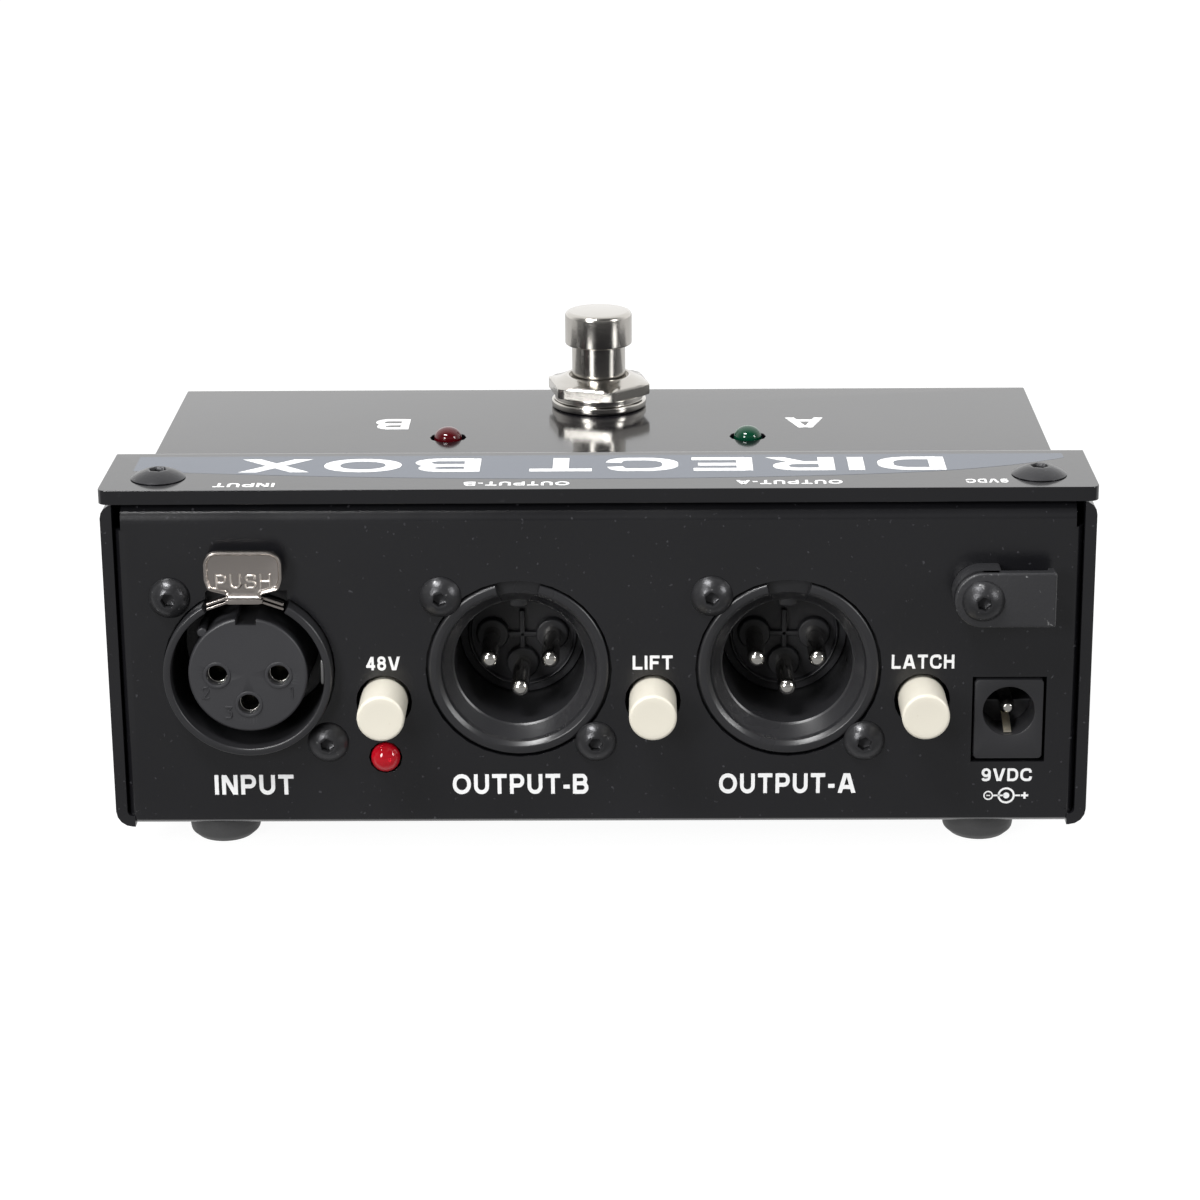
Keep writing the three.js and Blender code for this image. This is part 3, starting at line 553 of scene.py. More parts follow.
def button_screw(head, height, shank, length, key, turn):
    """Rings up the shank, over a cap of a sphere and down the socket: rise = sqrt(R^2 - r^2) - (R - h)."""
    rim = 0.12
    sphere = (head**2 + (height - rim) ** 2) / (2 * (height - rim))
    radius = np.linspace(head, key * 1.3, 9)
    rise = height - sphere + np.sqrt(sphere**2 - radius**2)
    crown = rise[-1]
    low = [(shank * 0.7, -length), (shank, 0.4 - length), (shank, 0), (head - 0.1, 0), (head, rim * 0.6)]
    rings = [ring(circle(r), w) for r, w in low]
    rings += [ring(circle(r), w) for r, w in zip(radius, rise)]
    for flat, depth in ((key * 1.05, 0.03), (key, 0.12), (key, height * 0.7), (key * 0.5, height * 0.8)):
        rings.append(ring(hexagon(flat, turn=turn), crown - depth))
    return shell(rings)


SMALL = {"head": 2.7, "height": 1.7, "shank": 1.35, "length": 6.5, "key": 0.82}
LARGE = {"head": 3.55, "height": 1.35, "shank": 1.85, "length": 7.5, "key": 1.0}
small_screws = [
    "input_screw_upper", "input_screw_lower", "output_b_screw_upper", "output_b_screw_lower",
    "output_a_screw_upper", "output_a_screw_lower",
]


def add_screw(node, size, turn, seat, face):
    """A screw whose head sits on the seat, in place of the measured one."""
    screw = placed(button_screw(**size, turn=turn), seat, face)
    make(node + "_turned", screw, OXIDE, replaces=(node,))


for k, node in enumerate(small_screws):
    add_screw(node, SMALL, 0.5 + 0.7 * k, on_panel(node), PANEL_FACE)

clamp_seat = middle("cable_clamp_screw")
clamp_seat[1] = corners("cable_clamp_screw")[0][1] + SMALL["height"]
add_screw("cable_clamp_screw", SMALL, 0.2, clamp_seat, PANEL_FACE)

for k, side in enumerate(("left", "right")):
    top_seat = middle("cover_screw_" + side)
    top_seat[2] = ROOF_Z
    add_screw("cover_screw_" + side, LARGE, 0.3 + k, top_seat, TOP_FACE)
    front_seat = middle("front_screw_" + side)
    front_seat[1] = FRONT_Y + 0.03
    add_screw("front_screw_" + side, SMALL, 0.9 + k, front_seat, FRONT_FACE)
print("screws:", len(small_screws) + 5)

# %% [markdown]
# ## Punched shapes
# Where a moulding has holes that don't share its axis, the holes are cut as a drill would: cutters are
# subtracted with a Boolean modifier, and the result becomes the piece's own mesh.

# %% Cutting


def carved(name, part, cutters, edge=0.0):
    """The piece left when every cutter is taken out of the part, its new edges rounded by a bevel."""
    piece = object_of(name, mesh_of(name, part))
    tools = [
        object_of(f"{name}_cutter_{k}", mesh_of(f"{name}_cutter_{k}", cutter))
        for k, cutter in enumerate(cutters)
    ]
    for tool in tools:
        cut = piece.modifiers.new("cut", "BOOLEAN")
        cut.operation = "DIFFERENCE"
        cut.solver = "EXACT"
        cut.object = tool
    if edge:
        bevel = piece.modifiers.new("edge", "BEVEL")
        bevel.width = edge * MM
        bevel.segments = 2
        bevel.limit_method = "ANGLE"
        bevel.angle_limit = math.radians(40)
    bpy.context.view_layer.update()
    view = bpy.context.evaluated_depsgraph_get()
    mesh = bpy.data.meshes.new_from_object(piece.evaluated_get(view))
    mesh.name = name
    piece.modifiers.clear()
    piece.data = mesh
    for tool in tools:
        bpy.data.objects.remove(tool)
    mesh.polygons.foreach_set("use_smooth", np.ones(len(mesh.polygons), bool))
    mesh.set_sharp_from_angle(angle=math.radians(38))
    flatten_shading(piece)
    return piece


print("cutting: Boolean differences, then a bevel")

# %% [markdown]
# ## Lettering
# The words are plain sans capitals. Each letter is a few pen strokes on a square whose height is 1, so
# a stroke is a ribbon: its path moved half a pen's width to each side. "pen" strokes have square ends,
# "loop" strokes close on themselves, and "leg" strokes slant but are cut level at both ends. A third
# number on a point is the radius of its corner.

# %% Letters as strokes
BOWL = [(0.1, 0.91), (0.67, 0.91, 0.22), (0.67, 0.42, 0.22), (0.1, 0.42)]
STEM = ("pen", [(0.1, 0), (0.1, 1)])
GLYPHS = {
    "A": [("leg", [(0.12, 0), (0.43, 1)]), ("leg", [(0.86, 0), (0.55, 1)]),
          ("pen", [(0.25, 0.3), (0.73, 0.3)])],
    "B": [STEM, ("pen", [(0.1, 0.91), (0.67, 0.91, 0.2), (0.67, 0.53, 0.2), (0.1, 0.53)]),
          ("pen", [(0.1, 0.53), (0.72, 0.53, 0.22), (0.72, 0.09, 0.22), (0.1, 0.09)])],
    "C": [("pen", [(0.79, 0.67), (0.74, 0.91, 0.2), (0.1, 0.91, 0.38), (0.1, 0.09, 0.38),
                   (0.76, 0.09, 0.2), (0.81, 0.36)])],
    "D": [STEM, ("pen", [(0.1, 0.91), (0.74, 0.91, 0.36), (0.74, 0.09, 0.36), (0.1, 0.09)])],
    "E": [STEM, ("pen", [(0.1, 0.91), (0.74, 0.91)]), ("pen", [(0.1, 0.52), (0.68, 0.52)]),
          ("pen", [(0.1, 0.09), (0.76, 0.09)])],
    "F": [STEM, ("pen", [(0.1, 0.91), (0.7, 0.91)]), ("pen", [(0.1, 0.49), (0.62, 0.49)])],
    "H": [STEM, ("pen", [(0.7, 0), (0.7, 1)]), ("pen", [(0.1, 0.52), (0.7, 0.52)])],
    "I": [STEM],
    "L": [STEM, ("pen", [(0.1, 0.09), (0.7, 0.09)])],
    "N": [STEM, ("pen", [(0.7, 0), (0.7, 1)]), ("leg", [(0.13, 1), (0.67, 0)])],
    "O": [("loop", [(0.1, 0.09, 0.4), (0.87, 0.09, 0.4), (0.87, 0.91, 0.4), (0.1, 0.91, 0.4)])],
    "P": [STEM, ("pen", BOWL)],
    "R": [STEM, ("pen", BOWL), ("leg", [(0.42, 0.42), (0.74, 0)])],
    "S": [("pen", [(0.72, 0.69), (0.68, 0.91, 0.2), (0.13, 0.91, 0.24), (0.13, 0.55, 0.22),
                   (0.72, 0.47, 0.22), (0.72, 0.09, 0.24), (0.1, 0.09, 0.2), (0.07, 0.33)])],
    "T": [("pen", [(0, 0.91), (0.78, 0.91)]), ("pen", [(0.39, 0), (0.39, 0.91)])],
    "U": [("pen", [(0.1, 1), (0.1, 0.09, 0.3), (0.7, 0.09, 0.3), (0.7, 1)])],
    "V": [("leg", [(0.12, 1), (0.42, 0)]), ("leg", [(0.84, 1), (0.54, 0)])],
    "X": [("leg", [(0.13, 0), (0.78, 1)]), ("leg", [(0.78, 0), (0.13, 1)])],
    "1": [("pen", [(0.1, 0.78), (0.36, 0.96, 0.1), (0.36, 0)])],
    "2": [("pen", [(0.08, 0.72), (0.1, 0.92, 0.2), (0.6, 0.92, 0.25), (0.6, 0.6, 0.2), (0.08, 0.09),
                   (0.64, 0.09)])],
    "3": [("pen", [(0.08, 0.92), (0.6, 0.92), (0.32, 0.57)]),
          ("pen", [(0.3, 0.57), (0.62, 0.57, 0.2), (0.62, 0.09, 0.24), (0.06, 0.09, 0.2)])],
    "4": [("pen", [(0.52, 0), (0.52, 1)]), ("pen", [(0, 0.28), (0.72, 0.28)]),
          ("leg", [(0.11, 0.28), (0.5, 1)])],
    "8": [("loop", [(0.12, 0.53, 0.2), (0.58, 0.53, 0.2), (0.58, 0.92, 0.2), (0.12, 0.92, 0.2)]),
          ("loop", [(0.1, 0.08, 0.24), (0.61, 0.08, 0.24), (0.61, 0.53, 0.24), (0.1, 0.53, 0.24)])],
    "9": [("loop", [(0.1, 0.42, 0.25), (0.61, 0.42, 0.25), (0.61, 0.92, 0.25), (0.1, 0.92, 0.25)]),
          ("pen", [(0.61, 0.7), (0.61, 0.09, 0.3), (0.16, 0.09, 0.15), (0.1, 0.22)])],
    "-": [("pen", [(0, 0.36), (0.34, 0.36)])],
}


def stroke(kind, bends, pen, low, high, taper):
    """One ribbon: at each point both edges stand half a pen away, along the mitre of its two sides."""
    points = np.array([bend[:2] for bend in bends], float)
    radii = [bend[2] if len(bend) > 2 else 0 for bend in bends]
    closed = kind == "loop"
    path = softened(points, radii, steps=6, closed=closed)
    along = np.roll(path, -1, axis=0) - path
    if not closed:
        along[-1] = along[-2]
    along = along / np.linalg.norm(along, axis=1)[:, None]
    before = np.roll(along, 1, axis=0)
    if not closed:
        before[0] = along[0]
    normal = np.stack([-along[:, 1], along[:, 0]], -1)
    mitre = normal + np.stack([-before[:, 1], before[:, 0]], -1)
    mitre = mitre / np.sum(mitre * normal, axis=1)[:, None]
    if kind == "leg":
        mitre = np.array([[1.15, 0.0]])
    half = pen / 2
    edges = [(-half, low), (half, low), (half - taper, high), (taper - half, high)]
    return shell(np.stack([ring(path + mitre * away, w) for away, w in edges], axis=1), wrap=closed)


STROKE_STEP = 0.12


def lettering(text, width, height, pen=0.2, proud=0.03, sink=0.02, taper=0.0):
    """A word whose strokes are ribbons, stretched to the size given and centred.

    Each next stroke of a letter is a hair higher than the last, so that no two of their tops share a plane.
    """
    gap = 0.17
    parts, start = [], 0.0
    for letter in text:
        if letter == " ":
            start += 0.45
            continue
        strokes = [
            stroke(kind, bends, pen, 0.0, 1 + STROKE_STEP * k, taper)
            for k, (kind, bends) in enumerate(GLYPHS[letter])
        ]
        points, faces = merged(*strokes)
        low, high = points[:, 0].min(), points[:, 0].max()
        parts.append((points + np.array([start - low, 0, 0]), faces))
        start += high - low + gap
    points, faces = merged(*parts)
    size = np.array([width / (start - gap), height, proud + sink])
    return points * size - np.array([width / 2, height / 2, sink]), faces


print("letters:", "".join(GLYPHS))

# %% [markdown]
# ## Male XLR sockets
# The two outputs are moulded nylon shells set in from behind: a rounded lip flush with the panel, a
# wide bevel, then a deep cup with three pins standing on bosses. A gap in the lip at the top takes the
# plug's latch. The shell is turned, and over the gap's angles the lip is pressed back to the gap's floor.

# %% Male shells, inserts and pins
PIN_PLACES = [(-4.0, 0.0), (4.0, 0.0), (0.0, -4.0)]
CUP = {"lip": 11.8, "mouth": 10.7, "bore": 8.5, "floor": -15.2, "back": -17.6}


def half_angle(half_width, radius):
    """Half the angle that a gap at the top takes up: the arcsine of its half width over the radius."""
    return math.asin(half_width / radius)


def gapped_angles(half_widths, radius):
    """Even angles, with a close pair on each side of every gap so that its walls are steep."""
    angles = [np.linspace(0, 2 * math.pi, 120, endpoint=False)]
    for half_width in half_widths:
        half = half_angle(half_width, radius)
        sides = np.array([half, half + 0.012])
        angles += [math.pi / 2 - sides, math.pi / 2 + sides]
    return np.unique(np.concatenate(angles))


def in_gap(angles, half_width, radius):
    """Which angles lie inside a gap at the top."""
    return np.abs(angles - math.pi / 2) < half_angle(half_width, radius) + 0.001


def gapped_turning(profile, gaps, radius):
    """A turned surface whose height is min(height, gap's floor) inside the angles of each gap."""
    angles = gapped_angles([half_width for half_width, _ in gaps], radius)
    profile = np.asarray(profile, float)
    u = profile[:, :1] * np.cos(angles)
    v = profile[:, :1] * np.sin(angles)
    height = profile[:, 1:] + np.zeros_like(u)
    for half_width, gap_floor in gaps:
        inside = in_gap(angles, half_width, radius)
        height = np.where(inside[None, :], np.minimum(height, gap_floor), height)
    return shell(np.stack([u, v, height], -1), wrap=True)


def screw_flange(bore, notch, reach):
    """The square plate behind the panel that the screws bite into. Its hole reaches higher in a notch."""
    low, high = -4.4, -1.6
    angles = gapped_angles([notch], bore)
    outline = soft_box(26, 26, 1.5, angles)
    hole = circle(np.where(in_gap(angles, notch, bore), reach, bore), angles)
    return shell([ring(outline, low), ring(outline, high), ring(hole, high), ring(hole, low)], wrap=True)


def male_shell():
    """The lip, bevel and cup as one turned profile with a gap, a key inside its top, and the flange."""
    lip, mouth, bore = CUP["lip"], CUP["mouth"], CUP["bore"]
    profile = [
        (bore, CUP["back"]), (bore, -3.0), (bore + 0.25, -2.8), (mouth - 0.75, -1.1), (mouth - 0.55, -0.5),
        (mouth, 0), (lip, 0), (lip, -4.5), (10.4, -4.5), (10.4, CUP["back"]),
    ]
    radii = [0, 0.05, 0.08, 0.2, 0.15, 0.3, 0.45, 0.2, 0.2, 0.2]
    body = gapped_turning(softened(profile, radii, closed=True), [(2.6, -1.7)], 10.9)
    key = brick((-1.1, CUP["floor"] + 0.2, bore - 1.0), (1.1, -3.2, bore + 0.3), 0.2)
    return merged(body, reordered(key, [0, 2, 1]), screw_flange(lip - 0.1, 2.6, lip - 0.1))


def male_insert():
    """A floor disc with three bosses, a rib joining the upper two and a rib down the middle."""
    floor, back = CUP["floor"], CUP["back"]
    disc = turned(softened([(0, back), (8.4, back), (8.4, floor), (0, floor)], 0.15))
    collar = turned(softened([(6.7, floor - 0.3), (7.1, floor + 0.9), (7.5, floor - 0.3)], 0.15))
    boss = turned(softened([(0, floor - 1), (2.35, floor - 1), (2.15, floor + 1.1), (0, floor + 1.1)], 0.3))
    bosses = [placed(boss, (u, v, 0)) for u, v in PIN_PLACES]
    level_rib = brick((-4, -0.35, floor - 1), (4, 0.35, floor + 0.9))
    upright_rib = brick((-0.35, -4, floor - 1), (0.35, 3.4, floor + 0.9))
    return merged(disc, collar, *bosses, level_rib, upright_rib)


def contact_pin():
    """A solid pin with a thinner solder tail and a domed tip: radius * cos(angle), then + sin(angle)."""
    tail = [(0, -22), (0.6, -22), (0.6, -19), (1.19, -19)]
    angle = np.linspace(0, math.pi / 2, 9)
    dome = np.stack([1.19 * np.cos(angle), np.sin(angle) - 4.4], -1)
    return turned(np.concatenate([tail, dome]), COARSE)


for label in ("output_b", "output_a"):
    origin = on_panel(label + "_insert")
    make(label + "_moulding", placed(male_shell(), origin, PANEL_FACE), CONNECTOR,
         replaces=(label + "_shell",))
    make(label + "_floor", placed(male_insert(), origin, PANEL_FACE), INSERT,
         replaces=(label + "_insert",))
    for k in (1, 2, 3):
        node = f"{label}_pin_{k}"
        make(node + "_turned", placed(contact_pin(), on_panel(node), PANEL_FACE), CONTACT,
             replaces=(node,))
print("male sockets at", on_panel("output_b_insert").round(1), on_panel("output_a_insert").round(1))

# %% [markdown]
# ## Female XLR socket
# The input's ring stands proud of the panel around a channel and a solid insert with three sockets. A
# wide gap in the ring at the top lets the release tab through. The insert has a keyway above and a
# raised rim round each hole, and the holes are numbered as on every such socket.

# %% Female shell and insert
RING = {"front": 2.5, "outside": 10.95, "inside": 9.95, "floor": -12.0, "back": -17.0}
INSERT_RADIUS = 7.75
INSERT_FACE = 1.9


def female_shell():
    """Ring, channel and barrel as one turned profile with two nested gaps, its flange and hinge ears."""
    outline = [
        (7.9, RING["back"]), (7.9, RING["floor"]), (RING["inside"], RING["floor"]),
        (RING["inside"], RING["front"]), (RING["outside"], RING["front"]),
        (RING["outside"], -4.5), (11.6, -4.5), (11.6, RING["back"]),
    ]
    radii = [0.1, 0.1, 0.3, 0.25, 0.3, 0.1, 0.2, 0.2]
    latch_gap, arm_slot = (5.25, -2.6), (2.8, -13.5)
    body = gapped_turning(softened(outline, radii, closed=True), [latch_gap, arm_slot], 10.5)
    ears = [brick((side * 3.85 - 1.15, 9.5, -11), (side * 3.85 + 1.15, 12, -7)) for side in (-1, 1)]
    return merged(body, screw_flange(RING["outside"] - 0.1, arm_slot[0], 12.7), *ears)


def pin_numbers():
    """The raised numerals beside the three holes, on the insert's face."""
    marks = [("2", 1.1, -5.6, -2.4), ("1", 0.5, 5.6, -2.3), ("3", 1.1, -2.6, -5.1)]
    return [
        placed(lettering(text, width, 1.75, 0.16, 0.13, 0.05, 0.05), (u, v, INSERT_FACE))
        for text, width, u, v in marks
    ]


def input_marks():
    """A raised rim round each hole, the coding pip at the upper left and the numerals."""
    low, high = INSERT_FACE - 0.1, INSERT_FACE + 0.14
    edge = [(1.36, low), (1.4, high), (1.75, high), (1.85, low)]
    rim = turned(softened(edge, 0.06, closed=True), wrap=True)
    rims = [placed(rim, (u, v, 0)) for u, v in PIN_PLACES]
    pip = turned(softened([(0, -3), (0.65, -3), (0.65, 1.7), (0, 1.7)], 0.25), ROUND[::3])
    return merged(*rims, placed(pip, (-5.75, 5.75, 0)), *pin_numbers())


def socket_tube():
    """A sprung contact seen down its bore: a tube with a rounded mouth and a closed end."""
    profile = [(0, -12), (1.2, -12), (1.2, 0.7), (1.33, 0.7), (1.33, -22), (0, -22)]
    return turned(softened(profile, [0, 0.1, 0.05, 0.05, 0.1, 0]), COARSE)


input_origin = on_panel("input_insert")
make("input_moulding", placed(female_shell(), input_origin, PANEL_FACE), CONNECTOR,
     replaces=("input_shell",))

drum = turned(softened(
    [(0, -20), (INSERT_RADIUS, -20), (INSERT_RADIUS, INSERT_FACE), (0, INSERT_FACE)], [0, 0.2, 0.35, 0]))
drill = turned([(0, -21), (1.35, -21), (1.35, 3), (0, 3)])
drills = [placed(drill, (u, v, 0)) for u, v in PIN_PLACES]
keyway = brick((-1.35, 6.8, RING["floor"]), (1.35, 9.0, 3.0), 0.05)
cutters = [placed(cutter, input_origin, PANEL_FACE) for cutter in (*drills, keyway)]
insert = carved("input_core", placed(drum, input_origin, PANEL_FACE), cutters, edge=0.12)
finish_piece(insert, INSERT, replaces=("input_insert",))
make("input_core_marks", placed(input_marks(), input_origin, PANEL_FACE), INSERT)

ground = brick((9.1, -2.4, -7.0), (9.6, 0.9, -1.2), 0.1)
make("input_ground_spring", placed(ground, input_origin, PANEL_FACE), SPRING)
for k in (1, 2, 3):
    node = f"input_contact_{k}"
    make(node + "_tube", placed(socket_tube(), on_panel(node), PANEL_FACE), CONTACT,
         replaces=(node,))
print("female socket at", input_origin.round(1))

# %% [markdown]
# ## Release tab
# The tab is stamped from nickel plated strip. Its rim is coined up around a shallow dished face with a
# raised word on it, and two thin wings on each side lie across the gap of the ring. Rings that step in
# from the outline make the rim and the dish in one surface.

# %% Stamped tab
DISH = 2.55


def tab_outline():
    """Half of the outline, mirrored, with every corner rounded."""
    right = [(2.3, 10.6), (2.3, 11.2), (4.6, 11.8), (5.05, 13.2), (5.05, 17.0)]
    left = [(-u, v) for u, v in right[::-1]]
    radii = [0.1, 0.3, 0.9, 2.0, 1.9]
    return softened(right + left, radii + radii[::-1], steps=10, closed=True)


def stamped_tab():
    """The outline moved inwards step by step, up over the coined rim and down into the dish."""
    outline = tab_outline()
    back, front = 2.2, 3.0
    steps = [
        (0.15, back), (0, back + 0.15), (0, front - 0.3), (0.08, front - 0.08), (0.22, front),
        (0.36, front - 0.06), (0.55, DISH + 0.06), (0.75, DISH),
    ]
    rings = [ring(inset(outline, distance), height) for distance, height in steps]
    centre = outline.mean(axis=0)
    for share in (0.5, 0.05):
        rings.append(ring(centre + (inset(outline, 0.75) - centre) * share, DISH - 0.02))
    return shell(rings)


def wing(side, lift):
    """One leaf of the spring that slopes down from the neck to the ring's edge."""
    outline = [(2.2, 9.75), (5.0, 8.75), (5.0, 9.1), (2.2, 10.1)]
    outline = [(side * u, v + lift) for u, v in outline]
    outline = outline if side > 0 else outline[::-1]
    return slab(softened(outline, 0.12, closed=True), 0.9, 1.9, 0.08)


def release_spring():
    """The arm that reaches back to the cross pin, the curl round the pin, the tail and the hook."""
    arm = brick((-2.42, 9.92, -9.0), (2.42, 10.68, 2.9), 0.12)
    tail = brick((-2.42, 9.92, -12.0), (2.42, 10.68, -8.9), 0.12)
    hook = brick((-1.45, 9.05, -3.35), (1.45, 10.1, -2.05), 0.12)
    profile = softened([(0.66, -2.4), (1.28, -2.4), (1.28, 2.4), (0.66, 2.4)], 0.1, closed=True)
    curl = reordered(turned(profile, ROUND[::3], wrap=True), [2, 0, 1])
    return merged(arm, tail, hook, placed(curl, (0, 10.3, -9.0)))


wings = [wing(side, lift) for side in (1, -1) for lift in (0, 0.6)]
latch = merged(stamped_tab(), release_spring(), *wings)
make("input_latch_stamped", placed(latch, input_origin, PANEL_FACE), LATCH,
     body="input_release", replaces=("input_latch",))
push_word = placed(lettering("PUSH", 7.2, 2.0, 0.17, 0.17, 0.05, 0.06), (0, 12.9, DISH))
# The word takes the paler nickel, a painted highlight on its letters.
make("input_latch_word", placed(push_word, input_origin, PANEL_FACE), NICKEL_PAINTED_HIGHLIGHT,
     body="input_release")
print("release tab:", len(bpy.data.meshes["input_latch_stamped"].polygons), "faces")

# %% [markdown]
# ## Push buttons
# Each button is an ivory cap moulded as a short rod with a softly rounded rim. How far it stands out
# and how deep it sits are taken from the measured cap, so it slides in its hole as that one does.

# %% Buttons


def button_cap(reach, back):
    """A turned rod from -back to reach, with a rounded rim and a face that dips a little."""
    radius = 3.075
    profile = [(0, -back), (radius, -back), (radius, reach), (radius - 0.9, reach), (0, reach - 0.06)]
    return turned(softened(profile, [0, 0.1, 0.4, 0.3, 0], steps=6))


for label in ("phantom", "lift", "latch"):
    node = label + "_button_cap"
    reach = PANEL_Y - corners(node)[0][1]
    back = corners(node)[1][1] - PANEL_Y
    make(node + "_moulded", placed(button_cap(reach, back), on_panel(node), PANEL_FACE), IVORY,
         body=label + "_button", replaces=(node,))
print("buttons reach", round(float(reach), 2), "mm")

# %% [markdown]
# ## Lamps
# The lamps are tinted epoxy, cast as a dome on a collar. Clear plastic alone would look black, so a
# small metal cup stands inside each one and catches the light, as the chip's reflector does.

# %% Lamps


def lamp_lens(radius, collar, reach, depth):
    """A collar, a straight wall and an elliptical dome: height = shoulder + dome * sin(angle)."""
    dome = min(radius * 0.85, reach)
    angle = np.linspace(0, math.pi / 2, 10)
    cap = np.stack([radius * np.cos(angle), reach - dome + dome * np.sin(angle)], -1)
    low = [(0, -depth), (collar, -depth), (collar, 1 - depth), (radius, 1 - depth)]
    return turned(np.concatenate([low, cap]), ROUND[::2])


def lamp_cup(depth):
    """A shallow metal cone standing on a post inside the lens."""
    profile = [(0, 0.3 - depth), (0.35, 0.3 - depth), (0.35, -1.6), (0.85, -0.8), (0.8, -0.75), (0, -1.2)]
    return turned(profile, ROUND[::3])


def add_lamp(node, origin, face, radius, collar, reach, depth, material):
    """A lens in place of the measured lamp, with its cup inside."""
    make(node + "_lens", placed(lamp_lens(radius, collar, reach, depth), origin, face), material,
         replaces=(node,))
    make(node + "_cup", placed(lamp_cup(depth), origin, face), CONTACT)


add_lamp("phantom_led", on_panel("phantom_led"), PANEL_FACE, 1.9, 2.2, 1.6, 5, RED_LENS)
# The deck's red lamp takes the darker copy of the red epoxy, as painted shade.
deck_lamps = {"deck_led_b": (RED_LENS_PAINTED_SHADE, "red_lens"), "deck_led_a": (GREEN_LENS, "green_lens")}
for node, (lens, slot) in deck_lamps.items():
    seat = middle(node)
    seat[2] = DECK_Z
    add_lamp(node, seat, TOP_FACE, 2.0, 2.4, 1.55, 6, lens)
print("lamps: 3")

# %% [markdown]
# ## Power jack
# The jack's face is a moulded rectangle with a round bore. Rings that change from a rounded rectangle
# to a circle give the block, its face and the bore in one surface. A pin stands in the bore, and a
# sprung leaf lies along its floor to touch the plug's sleeve.

# %% Jack
JACK_BORE = 3.35
JACK_RISE = 1.1


def jack_block():
    """Rings of a rounded rectangle up to the face, then circles down the bore."""
    low, high = corners("power_jack_body")
    width, height, depth = high[0] - low[0], high[2] - low[2], high[1] - low[1]
    steps = [(0.0, -depth), (0.0, -0.3), (0.09, -0.09), (0.3, 0.0)]
    rings = [ring(soft_box(width - 2 * d, height - 2 * d, 0.45), w) for d, w in steps]
    bore = [
        (JACK_BORE + 0.15, 0.0), (JACK_BORE + 0.04, -0.05), (JACK_BORE, -0.2),
        (JACK_BORE, -9.5), (0.9, -9.5),
    ]
    rings += [ring(circle(r, centre=(0, JACK_RISE)), w) for r, w in bore]
    return shell(rings)


def jack_pin():
    """A turned pin whose tip narrows to a small flat."""
    profile = [(0, -15), (1.0, -15), (1.0, -2.2), (0.55, -1.35), (0, -1.3)]
    return turned(softened(profile, [0, 0.1, 0.5, 0.3, 0]), COARSE)


def leaf_contact():
    """A leaf that springs up from the mouth and flattens: rise = 1.7 * sin of a quarter turn."""
    t = np.linspace(0, 1, 16)
    length = -0.9 - 7.4 * t
    rise = JACK_RISE - JACK_BORE + 0.15 + 1.7 * np.sin(math.pi / 2 * t)
    half = 0.5
    sections = [
        [(-half, v, w), (half, v, w), (half, v + 0.2, w), (-half, v + 0.2, w)]
        for w, v in zip(length, rise)
    ]
    return shell(sections)


def bore_step():
    """The lower half of the bore's floor stands forward, with a ledge level with the pin."""
    arc = np.linspace(math.pi, 2 * math.pi, 30)
    outline = np.stack([3.3 * np.cos(arc), 3.3 * np.sin(arc) - 0.1 + JACK_RISE], -1)
    return slab(outline, -9.6, -5.2, 0.12)


jack_origin = on_panel("power_jack_body")
housing = merged(jack_block(), bore_step())
make("power_jack_moulded", placed(housing, jack_origin, PANEL_FACE), JACK,
     replaces=("power_jack_body",))
centre_pin = placed(jack_pin(), (0, JACK_RISE, 0))
make("power_jack_pin_turned", placed(centre_pin, jack_origin, PANEL_FACE), CONTACT,
     replaces=("power_jack_pin",))
make("power_jack_leaf", placed(leaf_contact(), jack_origin, PANEL_FACE), LEAF,
     replaces=("power_jack_contact",))
print("jack at", jack_origin.round(1))

# %% [markdown]
# ## Cable clamp
# The clamp is a moulded nylon clip: a boss under its screw, and an arm that stands off the panel so
# that a thin cable can be tucked behind it. Boss, arm and end lip are plates of the same outline.

# %% Clamp


def clamp_outline(left, right, half):
    """A half circle on the left, centred on the screw, and square corners on the right."""
    arc = np.linspace(math.pi / 2, 3 * math.pi / 2, 25)
    points = [(half * math.cos(a) + left, half * math.sin(a)) for a in arc]
    square = softened([points[-1], (right, -half), (right, half), points[0]], [0, 0.35, 0.35, 0])
    return np.concatenate([points, square[1:-1]])


def cable_clamp():
    """Three slabs: the arm's face, the boss that stands on the panel and the lip at the free end."""
    half = 3.65
    reach = corners("cable_clamp")[1][0] - clamp_seat[0]
    depth, arm_depth = 4.7, 1.6
    face = slab(clamp_outline(0, reach, half), depth - arm_depth, depth, 0.3)
    boss = slab(clamp_outline(0, 2.4, half), 0.02, depth - 0.3, 0.2)
    end = brick((reach - 1.2, -half, depth - 2.5), (reach, half, depth - 0.2), 0.3)
    return merged(face, boss, end)


clamp_origin = np.array([clamp_seat[0], PANEL_Y, clamp_seat[2]])
make("cable_clamp_moulded", placed(cable_clamp(), clamp_origin, PANEL_FACE), CLAMP,
     replaces=("cable_clamp",))
print("clamp at", clamp_origin.round(1))

# %% [markdown]
# ## Footswitch
# The footswitch is all chromed and turned: a flat cap pressed on a stem, a dress nut whose hexagon runs
# up into a cone round the stem, and two washers. The nut goes from hexagon to circle ring by ring.

# %% Footswitch
switch_axis = middle("footswitch_plunger")
switch_axis[2] = DECK_Z
WASHER_TOP = 2.1


def plunger():
    """A stem and a wider flat cap, turned from one profile of radius against height."""
    top = corners("footswitch_plunger")[1][2] - DECK_Z
    low = corners("footswitch_plunger")[0][2] - DECK_Z
    cap, stem = 5.0, 4.0
    profile = [(0, low), (stem, low), (stem, top - 5.0), (cap, top - 5.0), (cap, top), (0, top)]
    return turned(softened(profile, [0, 0.3, 0.05, 0.3, 0.75, 0], steps=6))


